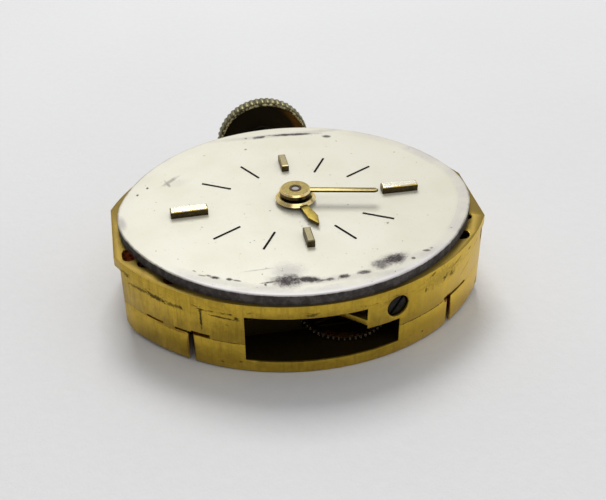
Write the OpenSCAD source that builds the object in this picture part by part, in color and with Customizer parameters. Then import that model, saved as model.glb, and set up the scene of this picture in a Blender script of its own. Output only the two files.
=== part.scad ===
// Small oval hand-wound watch movement with its dial, hands, winding stem and crown.
// Units are millimetres. The origin lies on the hands' axis at the bridges' outer face.
// +Z points out of the dial, +X to 6 o'clock and +Y along the winding stem to the crown.

/* [Plate and bridges] */
// Length of the main plate from end flat to end flat
plate_l = 14.5; // [13:0.1:16]
// Width of the main plate across the stem
plate_w = 12.4; // [11.5:0.1:13.5]
// Radius of the two long sides
side_r = 8.2; // [7.8:0.1:9]
// Radius of the long side by the crown
back_r = 7.9; // [7.8:0.05:8.2]
// Thickness of the main plate
plate_t = 1.8; // [1.7:0.05:2.2]
// Thickness of the bridges
bridge_t = 1.25; // [1.2:0.01:1.3]
// Thickness of the flange at the two ends of the plate
flange_t = 0.4; // [0.2:0.05:0.6]
// How far the end flange stands out over the wall
flange_out = 0.2; // [0.1:0.05:0.3]
// Thickness of the bridges under the wheels
skin_t = 0.56; // [0.54:0.01:0.58]
// Depth of the recess for the motion work
mw_depth = 0.6; // [0.58:0.01:0.65]
// Thickness of the web over the train
web_t = 0.15; // [0.12:0.01:0.18]
// Width of the gaps between the bridges
bridge_gap = 0.18; // [0.1:0.02:0.24]

/* [Side window] */
// Left end of the window in the side wall
win_x0 = -2.9; // [-3.1:0.05:-2.6]
// Right end of its tall part
win_x1 = 1.5; // [1.3:0.05:1.6]
// Right end of its low part
win_x2 = 2.8; // [2.4:0.05:3]
// Top of the tall part below the dial side
win_drop = 0.55; // [0.5:0.05:0.7]
// Top of the low part above the parting face
win_low = 0.35; // [0.25:0.05:0.4]
// How deep the window reaches into the plate
win_depth = 1.9; // [1.4:0.1:1.95]
// Height of the ledge in the window above the parting face
ledge_up = 0.52; // [0.45:0.01:0.6]
// Thickness of the ledge
ledge_t = 0.23; // [0.15:0.01:0.3]
// How far the ledge reaches along the window
ledge_l = 0.95; // [0.7:0.05:1.2]

/* [Dial] */
// Length of the oval dial
dial_l = 14; // [13:0.1:14.4]
// Width of the oval dial
dial_w = 12.2; // [11.6:0.1:12.6]
// Radius of the oval's ends
dial_end_r = 4; // [3.5:0.1:4.5]
// Thickness of the dial
dial_t = 0.42; // [0.3:0.02:0.5]
// Bevel around the dial's top edge
dial_bevel = 0.05; // [0.02:0.01:0.1]
// Radius of a dial foot
foot_r = 0.28; // [0.2:0.02:0.34]
// Length of a dial foot under the dial
foot_l = 1.1; // [1:0.02:1.15]
// Height of the applied batons
baton_h = 0.3; // [0.15:0.05:0.4]
// Width of the batons at 12 and 6
baton_w = 0.4; // [0.3:0.02:0.5]
// Length of the batons at 12 and 6
baton_l = 1.45; // [1.2:0.05:1.6]
// Inner end of the batons at 12 and 6
baton_r = 3.5; // [3.3:0.05:3.8]
// Width of the batons at 3 and 9
short_w = 0.3; // [0.2:0.02:0.4]
// Length of the batons at 3 and 9
short_l = 0.95; // [0.8:0.05:1.1]
// Inner end of the batons at 3 and 9
short_r = 2.3; // [2.2:0.05:2.5]
// Width of the printed hour lines
line_w = 0.08; // [0.05:0.01:0.1]
// Thickness of the print
line_t = 0.02; // [0.015:0.005:0.03]
// Inner and outer ends of the lines at 2, 4, 8 and 10
line_a = [2.32, 3.51];
// Inner and outer ends of the lines at 1, 5, 7 and 11
line_b = [2.77, 4.03];

/* [Hands] */
// Length of the minute hand
minute_l = 3.25; // [3:0.05:3.4]
// Width of the minute hand's blade
minute_w = 0.26; // [0.1:0.01:0.3]
// Radius of the minute hand's boss
minute_boss = 0.62; // [0.55:0.01:0.7]
// Thickness of the minute hand's boss
minute_t = 0.24; // [0.16:0.01:0.28]
// Length of the hour hand
hour_l = 2.05; // [1.8:0.05:2.2]
// Width of the hour hand's blade
hour_w = 0.4; // [0.3:0.01:0.5]
// Radius of the hour hand's boss
hour_boss = 0.8; // [0.75:0.01:0.9]
// Thickness of the hour hand's boss
hour_t = 0.24; // [0.15:0.01:0.26]
// Gap between the dial and the hour hand
hour_gap = 0.05; // [0.04:0.01:0.1]
// Gap between the two hands
hand_gap = 0.04; // [0.04:0.01:0.12]
// Minutes shown
show_min = 32; // [0:1:59]
// Hours shown
show_hour = 8; // [0:1:11]

/* [Crown and stem] */
// Height of the stem above the bridges' outer face
stem_z = 1.45; // [1.42:0.01:1.5]
// Radius of the stem in the wall
stem_r = 0.45; // [0.4:0.01:0.5]
// Radius of its free neck between the wall and the crown
neck_r = 0.28; // [0.25:0.01:0.3]
// Width of the stem's square
square_w = 0.5; // [0.44:0.01:0.54]
// Radius of the crown
crown_r = 2.16; // [1.9:0.02:2.4]
// Gap from the plate's side to the crown's inner rim
crown_out = 2.15; // [1.8:0.05:2.5]
// Length of the knurled band
knurl_l = 0.5; // [0.4:0.05:1]
// Length of the whole crown
crown_l = 1.55; // [1.3:0.05:1.8]
// Number of knurls
knurls = 52; // [36:1:60]
// Depth of the knurling
knurl_d = 0.06; // [0.04:0.01:0.12]
// Thickness of the crown's rim around its recess
crown_wall = 0.2; // [0.2:0.02:0.4]
// Depth of the recess in the crown
crown_hollow = 0.55; // [0.4:0.05:0.7]
// Travel of the stem when it is pulled
pull = 0.45; // [0.35:0.01:0.5]
// Radius of the winding pinion over its teeth
wp_r = 1.23; // [1.21:0.01:1.25]
// Length of the winding pinion
wp_l = 0.62; // [0.55:0.01:0.65]
// Radius of the sliding pinion
sp_r = 0.83; // [0.76:0.01:0.85]
// Length of the sliding pinion
sp_l = 0.95; // [0.9:0.01:1]

/* [Barrel] */
// Module of the barrel's teeth
bar_m = 0.08; // [0.078:0.001:0.082]
// Wall of the barrel drum
bar_wall = 0.16; // [0.12:0.01:0.2]
// Gap under the barrel's teeth to the drum
bar_step = 0.1; // [0.06:0.01:0.14]
// Thickness of the barrel's floor and cover
bar_lid = 0.12; // [0.1:0.01:0.16]
// Length of the barrel's toothed rim
bar_rim = 0.3; // [0.2:0.02:0.4]
// Radius of the barrel arbor inside the barrel
bar_core = 0.75; // [0.65:0.01:0.85]
// Radius of the barrel arbor in its bearings
bar_pin = 0.4; // [0.35:0.01:0.45]
// Turns of the mainspring
spring_n = 8; // [6:1:9]
// Thickness of the mainspring's strip
spring_t = 0.07; // [0.05:0.005:0.08]
// Module of the ratchet and crown wheels
rat_m = 0.1; // [0.098:0.001:0.102]
// Thickness of the ratchet and crown wheels
rat_t = 0.22; // [0.16:0.01:0.24]
// Depth of the ratchet wheel below the outer face
rat_deep = 0.17; // [0.16:0.01:0.2]

/* [Train] */
// Module of the centre wheel's teeth
cen_m = 0.07; // [0.068:0.001:0.072]
// Module of the third wheel's teeth
thd_m = 0.068; // [0.066:0.001:0.07]
// Module of the fourth wheel's teeth
fth_m = 0.065; // [0.063:0.001:0.067]
// Module of the motion work's teeth
mot_m = 0.08; // [0.078:0.001:0.082]
// Thickness of the train's wheels
wheel_t = 0.12; // [0.08:0.01:0.14]
// Radius of the train's arbors
arbor_r = 0.13; // [0.11:0.01:0.15]
// Radius of the pivots
pivot_r = 0.08; // [0.06:0.01:0.1]
// Radius of the jewels
jewel_r = 0.3; // [0.26:0.01:0.34]
// Thickness of the jewels
jewel_t = 0.2; // [0.15:0.01:0.22]
// Radius of the centre arbor
cen_r = 0.2; // [0.18:0.01:0.22]
// Radius of the escape wheel
esc_r = 1.1; // [1:0.01:1.14]
// Distance from the escape wheel to the pallets
esc_pal = 1.31; // [1.25:0.01:1.35]

/* [Balance] */
// Outer radius of the balance
bal_r = 2.35; // [2.2:0.01:2.4]
// Width of the balance's rim
bal_rim = 0.3; // [0.2:0.01:0.36]
// Height of the balance's rim
bal_h = 0.33; // [0.28:0.01:0.35]
// Width of the balance's arms
bal_arm = 0.32; // [0.24:0.01:0.4]
// Outer radius of the hairspring
hair_r = 1.15; // [1:0.01:1.25]
// Turns of the hairspring
hair_n = 6; // [4:1:8]
// Thickness of the hairspring's strip
hair_t = 0.035; // [0.03:0.005:0.045]
// Height of the hairspring's strip
hair_h = 0.12; // [0.1:0.01:0.14]
// Radius of the roller
roller_r = 0.5; // [0.46:0.01:0.55]
// Distance from the pallets to the balance
pal_bal = 1.96; // [1.92:0.01:2]

/* [Screws] */
// Radius of the bridge screws' heads
head_r = 0.45; // [0.38:0.01:0.5]
// Height of the bridge screws' heads
head_h = 0.28; // [0.2:0.01:0.34]
// Radius of the bridge screws' shanks
shank_r = 0.2; // [0.16:0.01:0.24]
// Radius of the dial-foot screws' heads
side_head = 0.42; // [0.36:0.01:0.46]
// How far its axis lies below the dial side
side_drop = 0.84; // [0.75:0.01:0.9]
// Width of the screws' slots
slot_w = 0.12; // [0.08:0.01:0.16]
// Depth of the screws' slots
slot_d = 0.12; // [0.08:0.01:0.14]

/* [Fits] */
// Radial clearance of the pivots and running bores
run_clr = 0.015; // [0.01:0.005:0.03]
// Clearance of a piece that slides or drops in
fit_clr = 0.03; // [0.02:0.005:0.05]
// Clearance around and over a turning wheel
wheel_clr = 0.1; // [0.08:0.01:0.12]
// Axial clearance of the barrel and the flat wheels
axial_clr = 0.05; // [0.04:0.01:0.06]

/* [Hidden] */
$fn = 72;
e = 0.01;
// Teeth of the train
bar_z = 72; cen_p = 10; cen_z = 64; thd_p = 8; thd_z = 54; fth_p = 6; fth_z = 50; esc_p = 6; esc_z = 15;
rat_z = 48; crw_z = 34; wp_z = 23; can_z = 12; min_z = 36; min_p = 10; hou_z = 40; set_z = 20;
// Main levels
z_top = bridge_t + plate_t;
z_mw = z_top - mw_depth;
z_ceil = z_mw - web_t;
z_dial = z_top + dial_t;
side_c = side_r - plate_w / 2;
back_c = back_r - plate_w / 2;
// Levels of the wheels
z_rat = rat_deep;
z_bar = z_rat + rat_t + axial_clr + 0.17 + axial_clr;
z_bar1 = z_ceil - 0.36;
z_cen = z_ceil - 0.13 - wheel_t;
z_fork = z_ceil - 0.5;
z_thd = bridge_t + 0.1;
z_fth = skin_t + 0.08;
pcock_t = 0.18;
z_pcock = z_fork - 0.1 - pcock_t;
z_hair = skin_t + 0.13;
z_bal = skin_t + 0.38;
z_bal1 = z_bal + bal_h;
// Places of the axes
function pol(r, a) = [r * cos(a), r * sin(a)];
function ang(a, b) = atan2(b[1] - a[1], b[0] - a[0]);
pc = [0, 0];
pb = pol(bar_m * (bar_z + cen_p) / 2, 172);
pt = pol(cen_m * (cen_z + thd_p) / 2, -46.4);
pf = pt + pol(thd_m * (thd_z + fth_p) / 2, -107.5);
pe = pf + pol(fth_m * (fth_z + esc_p) / 2, 0);
a_line = 67.4;
pp = pe + pol(esc_pal, a_line);
pw = pp + pol(pal_bal, a_line);
// The crown wheel sits on the stem's axis
rk = rat_m * (rat_z + crw_z) / 2;
pk = [0, pb[1] + sqrt(rk * rk - pb[0] * pb[0])];
pm = pol(mot_m * (can_z + min_z) / 2, 24.3);
ps = pm + pol(mot_m * (min_z + set_z) / 2, 130);
hou_m = mot_m * (can_z + min_z) / (min_p + hou_z);
// Tooth phases, so that every pair is in mesh at rest
function mesh(ph, beta, na, nb) = beta + 180 + 180 / nb - (ph - beta) * na / nb;
ph_bar = 0;
ph_cp = mesh(ph_bar, ang(pb, pc), bar_z, cen_p);
ph_cen = 0;
ph_tp = mesh(ph_cen, ang(pc, pt), cen_z, thd_p);
ph_thd = 0;
ph_fp = mesh(ph_thd, ang(pt, pf), thd_z, fth_p);
ph_fth = 0;
ph_ep = mesh(ph_fth, ang(pf, pe), fth_z, esc_p);
esc_ph = 20;
ph_can = 0;
ph_min = mesh(ph_can, ang(pc, pm), can_z, min_z);
ph_set = mesh(ph_min, ang(pm, ps), min_z, set_z);
ph_mp = 0;
ph_hou = mesh(ph_mp, ang(pm, pc), min_p, hou_z);
ph_crw = 90;
ph_rat = mesh(ph_crw, ang(pk, pb), crw_z, rat_z);
// Radii over the teeth
bar_tip = bar_m * (bar_z / 2 + 0.9);
cen_tip = cen_m * (cen_z / 2 + 0.9);
thd_tip = thd_m * (thd_z / 2 + 0.9);
fth_tip = fth_m * (fth_z / 2 + 0.9);
rat_tip = rat_m * (rat_z / 2 + 0.8);
crw_tip = rat_m * (crw_z / 2 + 0.8);
min_tip = mot_m * (min_z / 2 + 0.9);
hou_tip = hou_m * (hou_z / 2 + 0.9);
set_tip = mot_m * (set_z / 2 + 0.9);
// The hands' stack above the dial
can_r = 0.24;
tube_r = 0.4;
z_hh = z_dial + hour_gap;
z_mh = z_hh + hour_t + hand_gap;
z_tip = z_mh + minute_t + 0.04;
a_min = 180 - 6 * show_min;
a_hour = 180 - 30 * show_hour - show_min / 2;
// Places of the screws
dir_c = ang(pw, [5.35, 2.95]);
bb_screws = [[-6.3, 1.9], [-3.6, 4.5], [2.65, 4.35]];
tb_screws = [[-3.95, -4.3], [4.3, -4.3]];
cock_screw_p = [5.3, 2.95];
cock_foot_p = [5.65, -3.1];
pc_screw = [5.05, -3.55];
// Dial feet stand on the line of their side screws
a_side = -70.7;
foot_in = 0.85;
function side_pt(a, s) = [(side_r - s) * cos(a), side_c + (side_r - s) * sin(a)];
foot_f = side_pt(a_side, foot_in);
foot_b = -foot_f;
z_side = z_top - side_drop;
// Keyless work
kw = wp_r + wheel_clr;
y_wall = plate_w / 2;
y_wp0 = pk[1] + crw_tip - 0.16;
y_wp1 = y_wp0 + wp_l;
y_sp1 = y_wp0 + 0.06;
y_sp0 = y_sp1 - sp_l;
y_groove = y_wp1 + 0.22;
groove_w = 0.3;
groove_r = 0.28;
y_pilot = pk[1] - 0.45;
shift = 0.39;
z_set = z_cen + wheel_t + 0.05;
lev_p = [1.75, y_groove - 0.35];
yoke_p = [-1.8, y_sp0 + 0.6];
y_yoke = (y_sp0 + y_sp1) / 2 + 0.08;
y_crown = y_wall + crown_out;
z_key = z_mw + 0.05;
key_t = 0.2;
z_cover = z_key + key_t + 0.04;
cover_t = 0.12;
key_mid = [0.6, 4.7];
stud_r = 0.2;

module at(p, z = 0) translate([p[0], p[1], z]) children();
module cyl(r, z0, z1) translate([0, 0, z0]) cylinder(r = r, h = z1 - z0);
module ring(ro, ri, z0, z1) difference() {
  cyl(ro, z0, z1);
  cyl(ri, z0 - e, z1 + e);
}

// Outline of a spur gear: radial flanks inside the pitch circle, narrowing tips outside it
function gear_pts(n, m, w, ad, de, ph) = let (r = m * n / 2, p = 360 / n)
  [for (i = [0 : n - 1]) for (q = [[-de, -0.5 * w], [0, -0.5 * w], [ad, -0.2 * w],
    [ad, 0.2 * w], [0, 0.5 * w], [-de, 0.5 * w]])
    pol(r + q[0] * m, ph + (i + q[1]) * p)];
module gear2(n, m, ph, w = 0.46, ad = 0.9, de = 1.2) polygon(gear_pts(n, m, w, ad, de, ph));
module pin2(n, m, ph) gear2(n, m, ph, 0.38, 0.8, 1.15);

// A wheel with a rim, a hub and straight spokes
module wheel(n, m, ph, spokes, rim, hub, bore, z0, z1) translate([0, 0, z0])
  linear_extrude(z1 - z0) difference() {
    gear2(n, m, ph);
    difference() {
      circle(m * (n / 2 - 1.2) - rim);
      circle(hub);
      for (i = [0 : spokes - 1]) rotate(i * 360 / spokes + 20)
        translate([0, -0.09]) square([m * n, 0.18]);
    }
    circle(bore);
  }

// An arbor with a pivot at each end
module arbor(z0, z1, zp0, zp1, r = arbor_r) {
  cyl(r, z0, z1);
  cyl(pivot_r, zp0, z0 + e);
  cyl(pivot_r, z1 - e, zp1);
}

// A flat strip wound in a spiral about the axis
module spiral(r0, r1, turns, w, z0, z1, a0 = 0) {
  n = turns * 24;
  inner = [for (i = [0 : n]) pol(r0 + (r1 - r0) * i / n - w / 2, a0 + i * 15)];
  outer = [for (i = [n : -1 : 0]) pol(r0 + (r1 - r0) * i / n + w / 2, a0 + i * 15)];
  translate([0, 0, z0]) linear_extrude(z1 - z0) polygon(concat(inner, outer));
}

// A slotted screw pointing to +Z, with its head's outer face at z = 0
module screw(hr, hh, sr, len, a = 30) difference() {
  union() {
    cyl(hr, 0, hh);
    cyl(sr, hh - e, hh + len);
  }
  rotate(a) translate([-hr - 1, -slot_w / 2, -1]) cube([2 * hr + 2, slot_w, 1 + slot_d]);
}
module screw_hole(hr, hh, sr, depth) {
  cyl(hr + fit_clr, -1, hh);
  cyl(sr, hh - e, hh + depth);
}

// A bar with round ends from p to q
module bar2(p, q, w) {
  translate(p) circle(w / 2);
  translate(q) circle(w / 2);
  translate(p) rotate(ang(p, q)) translate([0, -w / 2]) square([norm(q - p), w]);
}

// The plate's outline, the same for the bridges
module outline(l) intersection() {
  translate([0, side_c]) circle(side_r, $fn = 180);
  translate([0, -back_c]) circle(back_r, $fn = 180);
  square([l, plate_w + 1], center = true);
}
body_l = plate_l - 2 * flange_out;

// Edges between the bridges, from the gaps in the side wall inwards
edge_a = [[-4.76, -9], [-4.76, -3.3], [-2.3, -3.05], [-0.9, -1.9], [0.6, -1.05], [1.5, -0.85]];
// One straight gap, with a little more room at its corners
module gap(p, q) {
  for (c = [p, q]) translate(c) circle(bridge_gap / 2 + 0.012);
  translate(p) rotate(ang(p, q)) translate([0, -bridge_gap / 2]) square([norm(q - p), bridge_gap]);
}
module seam_cut() {
  for (i = [0 : len(edge_a) - 2]) gap(edge_a[i], edge_a[i + 1]);
  gap([5.1, -9], [5.1, -3.9]);
  gap([5.1, -3.9], [4.7, -3.1]);
  gap([2.6, 1.3], [3.7, 2.9]);
  gap([3.7, 2.9], [3.7, 9]);
}
reach = bal_r + wheel_clr + 0.05;
module region_barrel() difference() {
  polygon([[-9, -3.5], edge_a[1], edge_a[2], edge_a[3], edge_a[4], edge_a[5], [2.6, 1.3], [3.7, 2.9],
    [3.7, 9], [-9, 9]]);
  seam_cut();
  at(pw) circle(reach);
}
module region_left_foot() difference() {
  polygon([[-9, -9], [-4.76, -9], edge_a[1], [-9, -3.5]]);
  seam_cut();
}
module region_train() difference() {
  polygon([[-4.76, -9], edge_a[1], edge_a[2], edge_a[3], edge_a[4], edge_a[5], [2.2, -1.8],
    [4.7, -3.1], [5.1, -3.9], [5.1, -9]]);
  seam_cut();
}
module region_cock() difference() {
  polygon([[5.1, -9], [5.1, -3.9], [4.7, -3.1], [4.2, -0.75], [2.6, 1.3], [3.7, 2.9], [3.7, 9],
    [9, 9], [9, -9]]);
  seam_cut();
}

module main_plate() color([0.8, 0.66, 0.28]) difference() {
  union() {
    translate([0, 0, bridge_t]) linear_extrude(plate_t - flange_t) outline(body_l);
    translate([0, 0, z_top - flange_t]) linear_extrude(flange_t) outline(plate_l);
  }
  // Pockets for the train, cut from the bridge side
  at(pb) cyl(bar_tip + wheel_clr, bridge_t - 1, z_bar1 + axial_clr);
  at(pc) cyl(cen_tip + wheel_clr, bridge_t - 1, z_ceil);
  at(pt) cyl(thd_tip + wheel_clr, bridge_t - 1, z_thd + wheel_t + 0.06);
  at(pt) cyl(thd_m * 8, bridge_t - 1, z_ceil);
  at(pf) cyl(fth_m * 6, bridge_t - 1, z_ceil);
  at(pe) cyl(esc_r + wheel_clr, bridge_t - 1, z_fork + 0.17);
  at(pe) cyl(arbor_r + wheel_clr, bridge_t - 1, z_ceil);
  at(pp) cyl(1.0, bridge_t - 1, z_fork + 0.2);
  at(pp) cyl(arbor_r + wheel_clr, bridge_t - 1, z_ceil);
  at(pw) cyl(reach, bridge_t - 1, z_bal1 + 0.06);
  at(pw) cyl(roller_r + wheel_clr + 0.15, bridge_t - 1, z_fork + 0.2);
  at(pw) cyl(0.3, bridge_t - 1, z_ceil);
  translate([0, 0, bridge_t - 1]) linear_extrude(z_fork + 0.2 - bridge_t + 1) bar2(pp, pw, 1.0);
  translate([0, 0, bridge_t - 1]) linear_extrude(z_pcock + pcock_t - bridge_t + 1)
    bar2(pp, pc_screw, 1.0 + 2 * fit_clr);
  // Bores for the arbors
  at(pc) cyl(cen_r + run_clr, 0, z_top);
  at(pb) cyl(bar_pin + run_clr, 0, z_ceil);
  for (p = [pt, pf, pe, pp, pw]) {
    at(p) cyl(jewel_r, z_ceil - e, z_ceil + jewel_t);
    at(p) cyl(pivot_r + 0.06, z_ceil, z_ceil + jewel_t + 0.1);
  }
  // Motion work and keyless work, cut from the dial side
  difference() {
    union() {
      at(pc) cyl(hou_tip + wheel_clr, z_mw, z_top + 1);
      at(pm) cyl(min_tip + wheel_clr, z_mw, z_top + 1);
      at(ps) cyl(set_tip + wheel_clr, z_set - 0.05, z_top + 1);
      key_pocket();
    }
    at(pm) cyl(stud_r, z_mw - 1, z_top - 0.06);
  }
  for (p = [yoke_p, lev_p]) at(p) cyl(0.16, z_mw - 0.32, z_top);
  // Slot for the setting lever's pin, which follows the stem's groove
  translate([0, 0, stem_z]) linear_extrude(plate_t) bar2([0, y_groove], [0.16, y_groove + pull], 0.3);
  translate([-kw, pk[1] + 0.02, 0]) cube([2 * kw, y_wp1 - pk[1] + fit_clr, z_mw + 0.2]);
  stem_bore();
  // Screw holes from the bridge side
  for (p = concat(bb_screws, tb_screws, [cock_screw_p])) at(p) cyl(shank_r, 0, bridge_t + 0.75);
  at(pc_screw) cyl(shank_r * 0.8, 0, z_pcock + pcock_t + 0.5);
  // Dial feet and their side screws
  for (f = [foot_f, foot_b]) at(f) cyl(foot_r + run_clr, z_top - foot_l - fit_clr, z_top + 1);
  for (s = [0, 180]) rotate(s) side_screw_hole();
  // The side window
  difference() {
    translate([win_x0, -y_wall - 1, bridge_t - 1])
      cube([win_x1 - win_x0, win_depth + 1, z_top - win_drop - bridge_t + 1]);
    // A thin ledge crosses its upper right corner
    translate([win_x1, -y_wall, bridge_t + ledge_up]) linear_extrude(ledge_t)
      polygon([[0.1, 0.02], [-ledge_l, ledge_l], [-ledge_l, win_depth + 0.1], [0.1, win_depth + 0.1]]);
  }
  translate([0, 0, bridge_t - 1]) linear_extrude(1 + win_low)
    translate([win_x0, -y_wall - 1]) square([win_x2 - win_x0, win_depth + 1]);
  // Slots along the parting face by the gaps of the bridges
  for (q = [[-5.3, 0.65, 0.1], [-4.75, 0.63, 0.17], [-6.25, 0.55, 0.1], [4.85, 1.12, 0.13]])
    intersection() {
      translate([q[0], -6, bridge_t - e]) cube([q[1], 3.6, q[2]]);
      translate([0, 0, bridge_t - 1]) linear_extrude(2) difference() {
        outline(plate_l);
        offset_outline(0.5);
      }
    }
  // Holes and notches in the dial side beyond the dial
  translate([0, 0, z_top - 0.5]) linear_extrude(1) bar2([-6.67, -1.95], [-6.67, -1.66], 0.52);
  at([-6.11, -2.44]) cyl(0.29, z_top - 0.5, z_top + 1);
  at([-5.24, -3.63]) cyl(0.3, z_top - 0.5, z_top + 1);
  at([6.5, -1.78]) cyl(0.22, z_top - 0.5, z_top + 1);
  at([5.92, -2.93]) cyl(0.33, z_top - 0.5, z_top + 1);
  // Slit by the right end
  translate([body_l / 2 - 0.12, -2.6, z_top - 0.85]) cube([0.07, 0.7, 0.6]);
}
module offset_outline(s) intersection() {
  translate([0, side_c]) circle(side_r - s, $fn = 180);
  translate([0, -back_c]) circle(back_r - s, $fn = 180);
  square([plate_l - 2 * s, plate_w], center = true);
}

// Room for the setting lever, the yoke and their cover, on the dial side
module key_shape(grow = 0) {
  bar2(lev_p, [0, y_groove + 0.1], 1.1 + 2 * grow);
  bar2(yoke_p, [0, y_yoke - 0.05], 1.0 + 2 * grow);
  bar2(ps, key_mid, 0.6 + 2 * grow);
  bar2(yoke_p, key_mid, 1.0 + 2 * grow);
  bar2(key_mid, lev_p, 1.0 + 2 * grow);
}
module key_pocket() translate([0, 0, z_mw]) linear_extrude(mw_depth + 1) key_shape(0.08);

module stem_bore() translate([0, 0, stem_z]) rotate([-90, 0, 0]) {
  cyl(stem_r + run_clr, y_wp1, y_wall + 1);
  cyl(pilot_r + run_clr, y_pilot - 0.4, y_sp0 - shift - 0.1);
}
pilot_r = 0.24;

// The dial-foot screw's hole, square to the wall
module side_frame(a, s) translate([side_pt(a, s)[0], side_pt(a, s)[1], z_side])
  rotate([0, 0, a + 180]) rotate([0, 90, 0]) children();
side_sink = 0.1;
module side_screw_hole() side_frame(a_side, 0) {
  cyl(side_head + fit_clr, -1, side_sink + 0.22);
  cyl(0.2, 0, foot_in - foot_r + e);
}
module dial_foot_screws() color([0.2, 0.19, 0.2]) for (s = [0, 180]) rotate(s)
  side_frame(a_side, side_sink) screw(side_head, 0.22, 0.2, foot_in - foot_r - side_sink - 0.22, 40);

module barrel_bridge() color([0.82, 0.68, 0.3]) difference() {
  linear_extrude(bridge_t) intersection() {
    outline(body_l);
    union() {
      region_barrel();
      region_left_foot();
    }
  }
  at(pb) cyl(bar_tip + wheel_clr, z_bar - axial_clr, bridge_t + 1);
  at(pb) cyl(rat_tip + wheel_clr, -1, z_rat + rat_t + axial_clr);
  at(pb) cyl(bar_pin + run_clr, -1, bridge_t);
  difference() {
    at(pk) cyl(crw_tip + wheel_clr, -1, z_rat + rat_t + axial_clr);
    at(pk) cyl(core_r, z_rat, z_rat + 2);
  }
  at(pk) cyl(0.16, -1, z_rat + 0.6);
  // The pinions' window runs through to the outer face only under the winding pinion
  translate([-kw, y_sp0 - shift - 0.2, z_bar - axial_clr])
    cube([2 * kw, y_wp1 - y_sp0 + shift + fit_clr + 0.2, bridge_t]);
  translate([-kw, y_wp0 - 0.14, -1]) cube([2 * kw, wp_l + 0.14 + fit_clr, bridge_t + 2]);
  stem_bore();
  at(pc) cyl(cen_r + run_clr, skin_t, bridge_t + 1);
  at(pc) cyl(cen_r * 0.7 + run_clr, 0.08, bridge_t);
  for (p = bb_screws) at(p) screw_hole(head_r, head_h + 0.04, shank_r + fit_clr, bridge_t);
  click_pocket();
  at(click_p) cyl(0.2, 0, z_rat + rat_t + 0.36);
}
core_r = 0.62;

module train_bridge() color([0.82, 0.68, 0.3]) difference() {
  linear_extrude(bridge_t) intersection() {
    outline(body_l);
    region_train();
  }
  at(pf) cyl(fth_tip + wheel_clr, skin_t, bridge_t + 1);
  at(pt) cyl(arbor_r + wheel_clr, skin_t, bridge_t + 1);
  at(pe) cyl(arbor_r + wheel_clr + 0.1, skin_t, bridge_t + 1);
  at(pw) cyl(reach, skin_t + 0.1, bridge_t + 1);
  at(pw) cyl(bal_r - 0.1, -1, bridge_t + 1);
  for (p = [pt, pf, pe]) {
    at(p) cyl(jewel_r, skin_t - jewel_t, skin_t + e);
    at(p) cyl(pivot_r + 0.06, skin_t - jewel_t - 0.1, skin_t);
    at(p) cyl(0.2, -1, 0.12);
  }
  // The window runs down to the bridge's skin
  translate([0, 0, skin_t - 0.05]) linear_extrude(2)
    translate([win_x0, -y_wall - 1]) square([win_x2 - win_x0, win_depth + 1]);
  for (p = tb_screws) at(p) screw_hole(head_r, head_h + 0.04, shank_r + fit_clr, bridge_t);
}

module balance_cock() color([0.82, 0.68, 0.3]) difference() {
  union() {
    linear_extrude(bridge_t) intersection() {
      outline(body_l);
      difference() {
        region_cock();
        at(pw) circle(reach);
      }
    }
    translate([0, 0, cock_sink]) linear_extrude(skin_t - cock_sink) {
      bar2(pw, cock_screw_p, 1.5);
      bar2(pw, cock_foot_p, 0.9);
      at(pw) circle(0.95);
    }
  }
  at(pw) cyl(jewel_r, skin_t - jewel_t, skin_t + e);
  at(pw) cyl(0.22, 0, skin_t);
  at(pw) cyl(reg_r + fit_clr, -1, cock_sink + 0.02 + reg_t);
  at(cock_screw_p) screw_hole(head_r, head_h + 0.04, shank_r + fit_clr, bridge_t);
  // Room for the regulator's tail and its pins
  at(pw) for (a = [-24 : 4 : 24]) rotate(a_reg + a)
    translate([0, -0.15, -1]) cube([1.5, 0.3, cock_sink + 0.02 + reg_t + 1]);
  at(stud_p) cyl(0.13, -1, skin_t + 1);
}
cock_sink = 0.08;
reg_r = 0.62;
reg_t = 0.1;
a_reg = dir_c + 120;
stud_a = dir_c - 60;
stud_p = pw + pol(hair_r + 0.1, stud_a);

module pallet_bridge() color([0.82, 0.68, 0.3]) difference() {
  translate([0, 0, z_pcock]) linear_extrude(pcock_t) {
    bar2(pp, pc_screw, 0.6);
    translate(pc_screw) circle(0.45);
  }
  at(pp) cyl(pivot_r + run_clr, z_pcock - 1, z_pcock + 1);
  at(pc_screw) cyl(shank_r * 0.8 + fit_clr, z_pcock - 1, z_pcock + 1);
}
module pallet_bridge_screw() color([0.35, 0.36, 0.4])
  at(pc_screw, z_pcock - 0.15) screw(0.32, 0.15, shank_r * 0.8, pcock_t + 0.4, 20);

module bridge_screws() color([0.72, 0.72, 0.74]) for (p = concat(bb_screws, tb_screws))
  at(p, 0.04) screw(head_r, head_h, shank_r, bridge_t + 0.3, 10 + 37 * p[0]);
module cock_screw() color([0.72, 0.72, 0.74])
  at(cock_screw_p, 0.04) screw(head_r, head_h, shank_r, bridge_t + 0.3, 75);

// A jewel with its bore
module jewel(z0) ring(jewel_r, pivot_r + run_clr, z0, z0 + jewel_t);
module plate_jewels() color([0.7, 0.06, 0.2]) for (p = [pt, pf, pe, pp, pw]) at(p) jewel(z_ceil);
module bridge_jewels() color([0.7, 0.06, 0.2]) for (p = [pt, pf, pe]) at(p) jewel(skin_t - jewel_t);
module balance_jewel() color([0.7, 0.06, 0.2]) at(pw) {
  jewel(skin_t - jewel_t);
}
module balance_cap() color([0.78, 0.66, 0.3]) at(pw) cyl(0.22, cock_sink + reg_t + 0.05, skin_t - jewel_t);

module regulator() color([0.78, 0.78, 0.8]) at(pw) difference() {
  union() {
    cyl(reg_r, cock_sink + 0.02, cock_sink + 0.02 + reg_t);
    rotate(a_reg) translate([0, -0.1, cock_sink + 0.02]) cube([1.35, 0.2, reg_t]);
  }
  cyl(0.3, -1, 1);
}

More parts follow.
